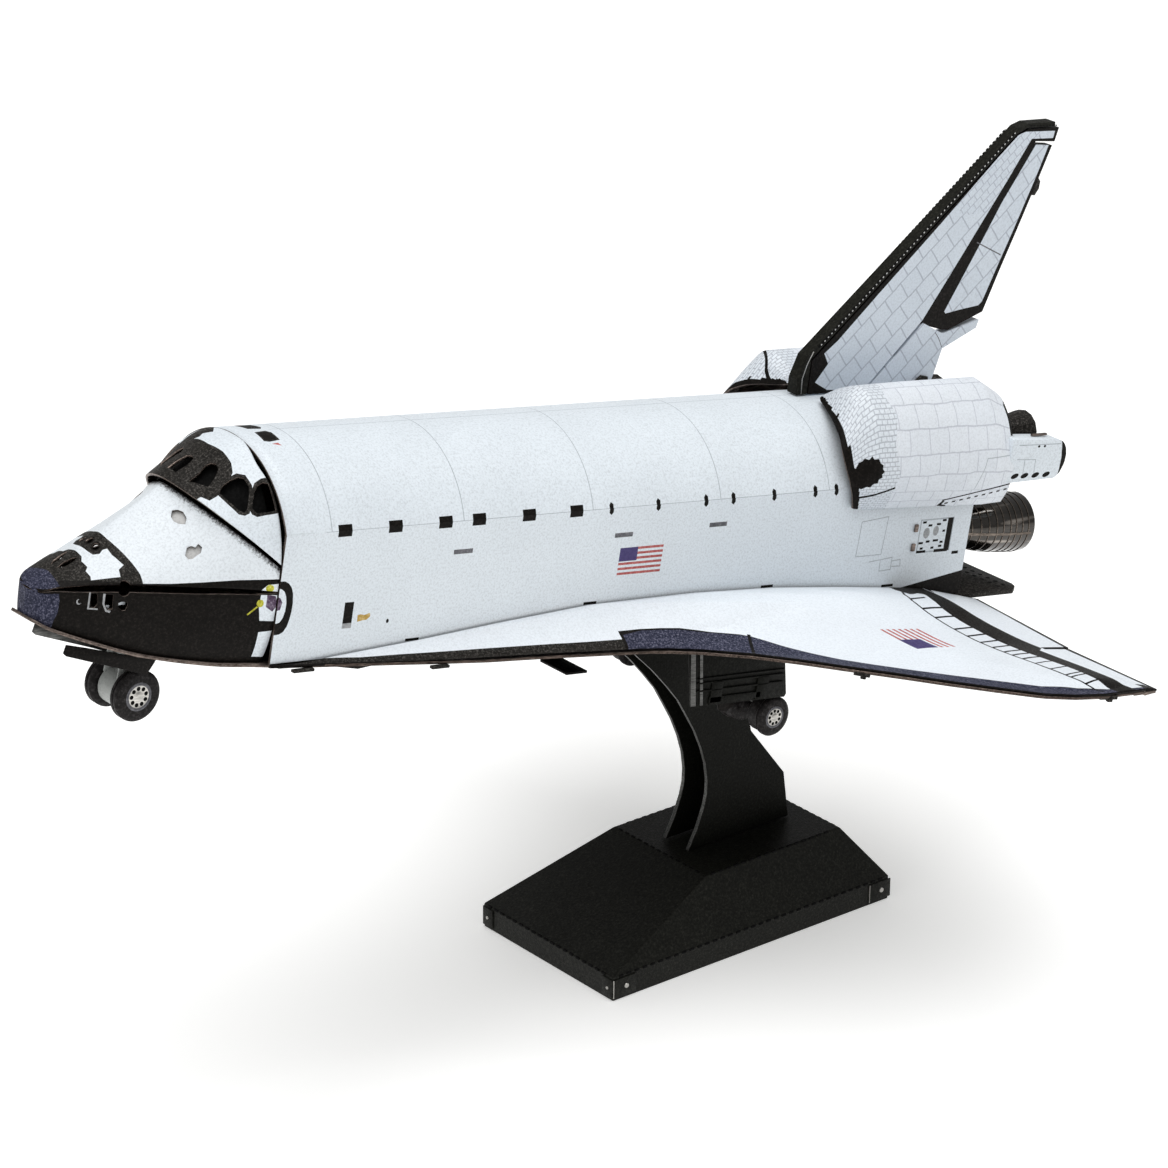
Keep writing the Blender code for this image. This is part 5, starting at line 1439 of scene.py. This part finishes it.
def make_main_gear(tag, side):
    inner, outer = side * 13.38, side * 13.55                  # what stands on the door's outer face
    bm = rounded(prism(MAIN_DOOR, 1, side * 13.15, side * 13.4), 0.04)
    for z in (-21.9, -22.35, -23.1):
        add(bm, rounded(block(40.6, 51.2, inner, outer, z, z + 0.16), 0.04), 0)
    add(bm, rounded(block(42.3, 48.6, inner, outer, -24.3, -23.7), 0.05), 0)
    for x in (42.4, 48.0):
        add(bm, rounded(block(x, x + 1.4, inner, 13.62 if side > 0 else outer, -24.5, -22.2), 0.06), 0)
    for x, w in ((39.25, 0.55), (40.3, 0.36)):
        rib = [(x, -19.1), (x + w, -19.1), (x + w + 1.05, -24.45), (x + 1.05, -24.45)]
        add(bm, rounded(prism(rib, 1, inner, side * 13.5), 0.04), 1)
    place("main_door_leaf_" + tag, bm, [SHADED_POST_BLACK, GUN_GREY], ["main_gear_door_" + tag], slot="black_print")
    bm = rounded(block(50.8, 52.0, side * 9.65, side * 10.35, -26.1, -19.3), 0.12)
    add(bm, rounded(block(50.6, 52.2, side * 9.5, side * 10.5, -23.0, -22.6), 0.08), 1)
    add(bm, rounded(prism(MAIN_BAR, 1, side * 10.9, side * 10.7), 0.05), 2)
    place("main_leg_fold_" + tag, bm, [GUN_GREY, BARE_GREY, BLACK], ["main_gear_leg_" + tag],
          slot="bare_steel")
    x, y, z = MAIN_WHEEL
    make_wheels("main_wheel_set_" + tag, (x, side * y, z), MAIN_TYRE, MAIN_DRUM, tag + "_wheel_pair",
                "main_wheels_" + tag, 0)


def make_bracket():
    place("belly_bracket_fold", rounded(prism(BRACKET, 0, 35.1, 37.6), 0.05), [BLACK], ["belly_bracket"],
          slot="black_print")


# ---------------------------------------------------------------- stand


BASE_L, BASE_W, SKIRT_H = 34.37, 19.47, 2.44
DECK_X0, DECK_X1, DECK_W, DECK_H = 13.56, 30.5, 13.49, 7.65
X0 = 29.68 + SHUTTLE_AT.x                                      # the foot's front edge
MIDDLE = Vector((X0 + 20, 0, 2))
POST_FRONT = [(1.7, 35.0), (4.0, 32.45), (6.2, 29.8), (8.2, 27.75), (10.0, 25.6), (11.35, 23.85),
              (12.4, 22.0), (13.45, 20.1), (14.3, 18.1), (14.85, 16.3), (15.1, 14.5), (15.05, 13.1),
              (14.75, 11.8), (13.95, 9.75), (12.85, DECK_H + 0.1)]
POST_REAR = [(25.45, DECK_H + 0.1), (24.75, 12.6), (20.45, 18.2), (19.55, 23.0), (19.75, 28.0),
             (20.65, 31.0)]


def corners(x0, x1, width, z):
    half = width / 2
    return [Vector((X0 + x, y, z)) for x, y in ((x0, -half), (x1, -half), (x1, half), (x0, half))]


def dashes(bm, a, b, drop, fat):
    """A row of slits along a fold, from a to b."""
    step, size = 0.95, 0.50
    d = (b - a).normalized()
    out = (a + b) / 2 - MIDDLE
    out = (out - d * out.dot(d)).normalized()
    turn = Vector((1, 0, 0)).rotation_difference(d).to_matrix().to_4x4()
    for k in range(1, int((b - a).length / step)):
        at = a + d * (step * k) - out * 0.012 + Vector((0, 0, drop))
        part = block(-size / 2, size / 2, -fat, fat, -fat, fat)
        bmesh.ops.transform(part, matrix=Matrix.Translation(at) @ turn, verts=part.verts)
        add(bm, part, 0)


def make_stand():
    bm = bmesh.new()
    bmesh.ops.create_cube(bm, size=1.0)
    bmesh.ops.bisect_plane(bm, geom=all_of(bm), dist=1e-5, plane_co=(0, 0, 0), plane_no=(0, 0, 1))
    for v in bm.verts:
        aft = v.co.x > 0
        if v.co.z < 0.1:
            x, half, z = BASE_L if aft else 0, BASE_W / 2, 0.0 if v.co.z < -0.1 else SKIRT_H
        else:
            x, half, z = DECK_X1 if aft else DECK_X0, DECK_W / 2, DECK_H
        v.co = (X0 + x, math.copysign(half, v.co.y), z)
    bottom = [f for f in bm.faces if all(v.co.z < 0.01 for v in f.verts)]
    bmesh.ops.delete(bm, geom=bottom, context='FACES_ONLY')
    face_away(bm, (X0 + 18, 0, 3))
    place("stand_foot", bm, [STAND_BLACK, STAND_EDGE], ["stand_base"], thick=0.5, smooth=None, where=ON_TABLE,
          bevel=0.12, slot="stand_black")

    # perforated folds
    skirt = corners(0.0, BASE_L, BASE_W, SKIRT_H)
    deck = corners(DECK_X0, DECK_X1, DECK_W, DECK_H)
    bm = bmesh.new()
    for k in range(4):
        fat = 0.09 if k in (0, 3) else 0.03
        dashes(bm, skirt[k], skirt[(k + 1) % 4], -0.02, fat)
        dashes(bm, deck[k], deck[(k + 1) % 4], -0.04, fat)
    place("stand_fold_slits", bm, [DEEP], smooth=None, where=ON_TABLE, slot="stand_black")

    # corner tabs with bright dots and bright cut ends
    bm = bmesh.new()
    for side in (-1, 1):
        y = side * (BASE_W / 2 + 0.06)
        for x in (X0 + 1.35, X0 + BASE_L - 1.2):
            add(bm, rounded(block(x - 1.35, x + 1.35, y - 0.07, y + 0.07, 0.3, 2.2), 0.05), 0)
            dot = turned([(0, 0.02), (0, 0.26), (0.06, 0.22), (0.07, 0.02)], 16)
            add(bm, point_to(dot, (0, side, 0), (x + 0.2, y + side * 0.06, 1.25)), 1)
            add(bm, rounded(block(x - 1.36, x - 1.30, y - 0.08, y + 0.09, 0.32, 2.18), 0.015), 1)
        x, y = X0 - 0.06, side * (BASE_W / 2 - 0.75)
        add(bm, rounded(block(x - 0.07, x + 0.07, y - 0.75, y + 0.75, 0.3, 2.2), 0.05), 0)
        dot = turned([(0, 0.02), (0, 0.17), (0.05, 0.15), (0.06, 0.02)], 14)
        add(bm, point_to(dot, (-1, 0, 0), (x - 0.07, y + side * 0.05, 1.2)), 1)
    place("stand_corner_tabs", bm, [STAND_BLACK, BARE], where=ON_TABLE, slot="stand_black")


def under_belly(point):
    """The post's upper corner, lifted to just inside the belly above it."""
    x = point[0]
    own_x = (x - SHUTTLE_AT.x - math.sin(PITCH) * BELLY_Z) / math.cos(PITCH)
    return (x, SHUTTLE_AT.z - math.sin(PITCH) * own_x + math.cos(PITCH) * BELLY_Z - 0.3)


def make_post():
    front = [under_belly(POST_FRONT[0])] + POST_FRONT[1:]
    rear = POST_REAR[:-1] + [under_belly(POST_REAR[-1])]
    for tag, side in SIDES:
        bm = prism(front + rear, 1, side * 1.9, side * 1.45)
        for f in bm.faces:
            if abs(f.normal.y) < 0.5:
                f.material_index = 1
        # the post's sides take the darker copy of the stand's black: painted shade
        place("stand_post_side_" + tag, bm, [SHADED_POST_BLACK, STAND_EDGE], ["stand_post_plate_" + tag], smooth=30,
              where=ON_TABLE, bevel=0.05, slot="stand_black")
    inner = [(x - 0.3, z) for x, z in rear]
    bm = prism(inner + [(x - 0.5, z) for x, z in reversed(inner)], 1, -1.33, 1.33)
    # the post's back, too, in the darker copy of the stand's black: painted shade
    place("stand_post_back", bm, [SHADED_POST_BLACK], ["stand_post_web"], smooth=30, where=ON_TABLE, bevel=0.04,
          slot="stand_black")


# ---------------------------------------------------------------- studio


PHOTO_PX, FOCAL_PX = 1168, 4729.86
CAMERA_AT = (-0.249527, -0.30872, 0.20687)
CAMERA_AZ, CAMERA_EL, CAMERA_ROLL = (math.radians(a) for a in (-39.10, 23.04, 0.48))
FLOOR_GLOW, AIR_GLOW = 0.38, 0.34
LAMPS = (("softbox_top", (0.02, -0.05, 0.62), (0.0, 0.0, 0.03), (0.7, 0.6), 3.3),   # name, at, aim, size, W
         ("softbox_left", (-0.62, -0.12, 0.34), (0.0, 0.0, 0.04), (0.45, 0.45), 0.60),
         ("softbox_right", (0.40, -0.62, 0.30), (0.0, 0.0, 0.04), (0.5, 0.35), 0.05),
         ("window_strip", (0.316, -0.142, 0.434), (0.046, -0.007, 0.034), (0.03, 0.10), 0.10))


def in_scene(name, data):
    ob = bpy.data.objects.new(name, data)
    bpy.context.scene.collection.objects.link(ob)
    return ob


def make_studio():
    floor_look, nt, shader = new_look("white_sweep", rough=0.65, gloss=0.2)
    coords = node(nt, 'ShaderNodeTexCoord', (-900, 0))
    mottled = grain(nt, coords.outputs["Object"], 8.0, at=(-700, 0))
    nt.links.new(ramp(nt, mottled, [(0.3, (0.90, 0.90, 0.895)), (0.7, (0.915, 0.915, 0.91))]),
                 shader.inputs["Base Color"])
    shader.inputs["Emission Color"].default_value = (1.0, 1.0, 0.985, 1.0)
    shader.inputs["Emission Strength"].default_value = FLOOR_GLOW
    bm = bmesh.new()
    bmesh.ops.create_grid(bm, x_segments=1, y_segments=1, size=3.0)
    mesh = bpy.data.meshes.new("studio_floor")
    bm.to_mesh(mesh)
    bm.free()
    mesh.materials.append(floor_look)
    in_scene("studio_floor", mesh)

    world = bpy.data.worlds.new("studio_air")
    bpy.context.scene.world = world
    world.use_nodes = True
    air = world.node_tree.nodes["Background"]
    air.inputs["Color"].default_value = (1.0, 1.0, 1.0, 1.0)
    air.inputs["Strength"].default_value = AIR_GLOW

    for name, at, aim, size, watts in LAMPS:
        lamp = bpy.data.lights.new(name, 'AREA')
        lamp.shape = 'RECTANGLE'
        lamp.size, lamp.size_y = size
        lamp.energy = watts
        ob = in_scene(name, lamp)
        ob.location = at
        ob.rotation_euler = (Vector(aim) - Vector(at)).to_track_quat('-Z', 'Y').to_euler()

    data = bpy.data.cameras.new("photo_camera")
    data.sensor_width = 36.0
    data.lens = data.sensor_width * FOCAL_PX / PHOTO_PX
    data.clip_start = 0.01
    data.clip_end = 20.0
    cam = in_scene("photo_camera", data)
    az, el = CAMERA_AZ, CAMERA_EL
    back = Vector((math.sin(az) * math.cos(el), -math.cos(az) * math.cos(el), math.sin(el)))
    right = Vector((math.cos(az), math.sin(az), 0.0))
    turn = Matrix((right, back.cross(right), back)).transposed().to_4x4()
    cam.matrix_world = Matrix.Translation(CAMERA_AT) @ turn @ Matrix.Rotation(CAMERA_ROLL, 4, 'Z')
    bpy.context.scene.camera = cam
    bpy.context.scene.view_settings.view_transform = 'Standard'


make_nose()
make_canopy()
make_bay()
make_belly()
for name, side in SIDES:
    make_side(name, side)
    make_wing(name, side)
    make_pod(name, side)
make_flap()
make_fin()
for engine in ENGINES:
    make_engine(*engine)
make_nose_gear()
for name, side in SIDES:
    make_main_gear(name, side)
make_bracket()
make_stand()
make_post()
make_studio()
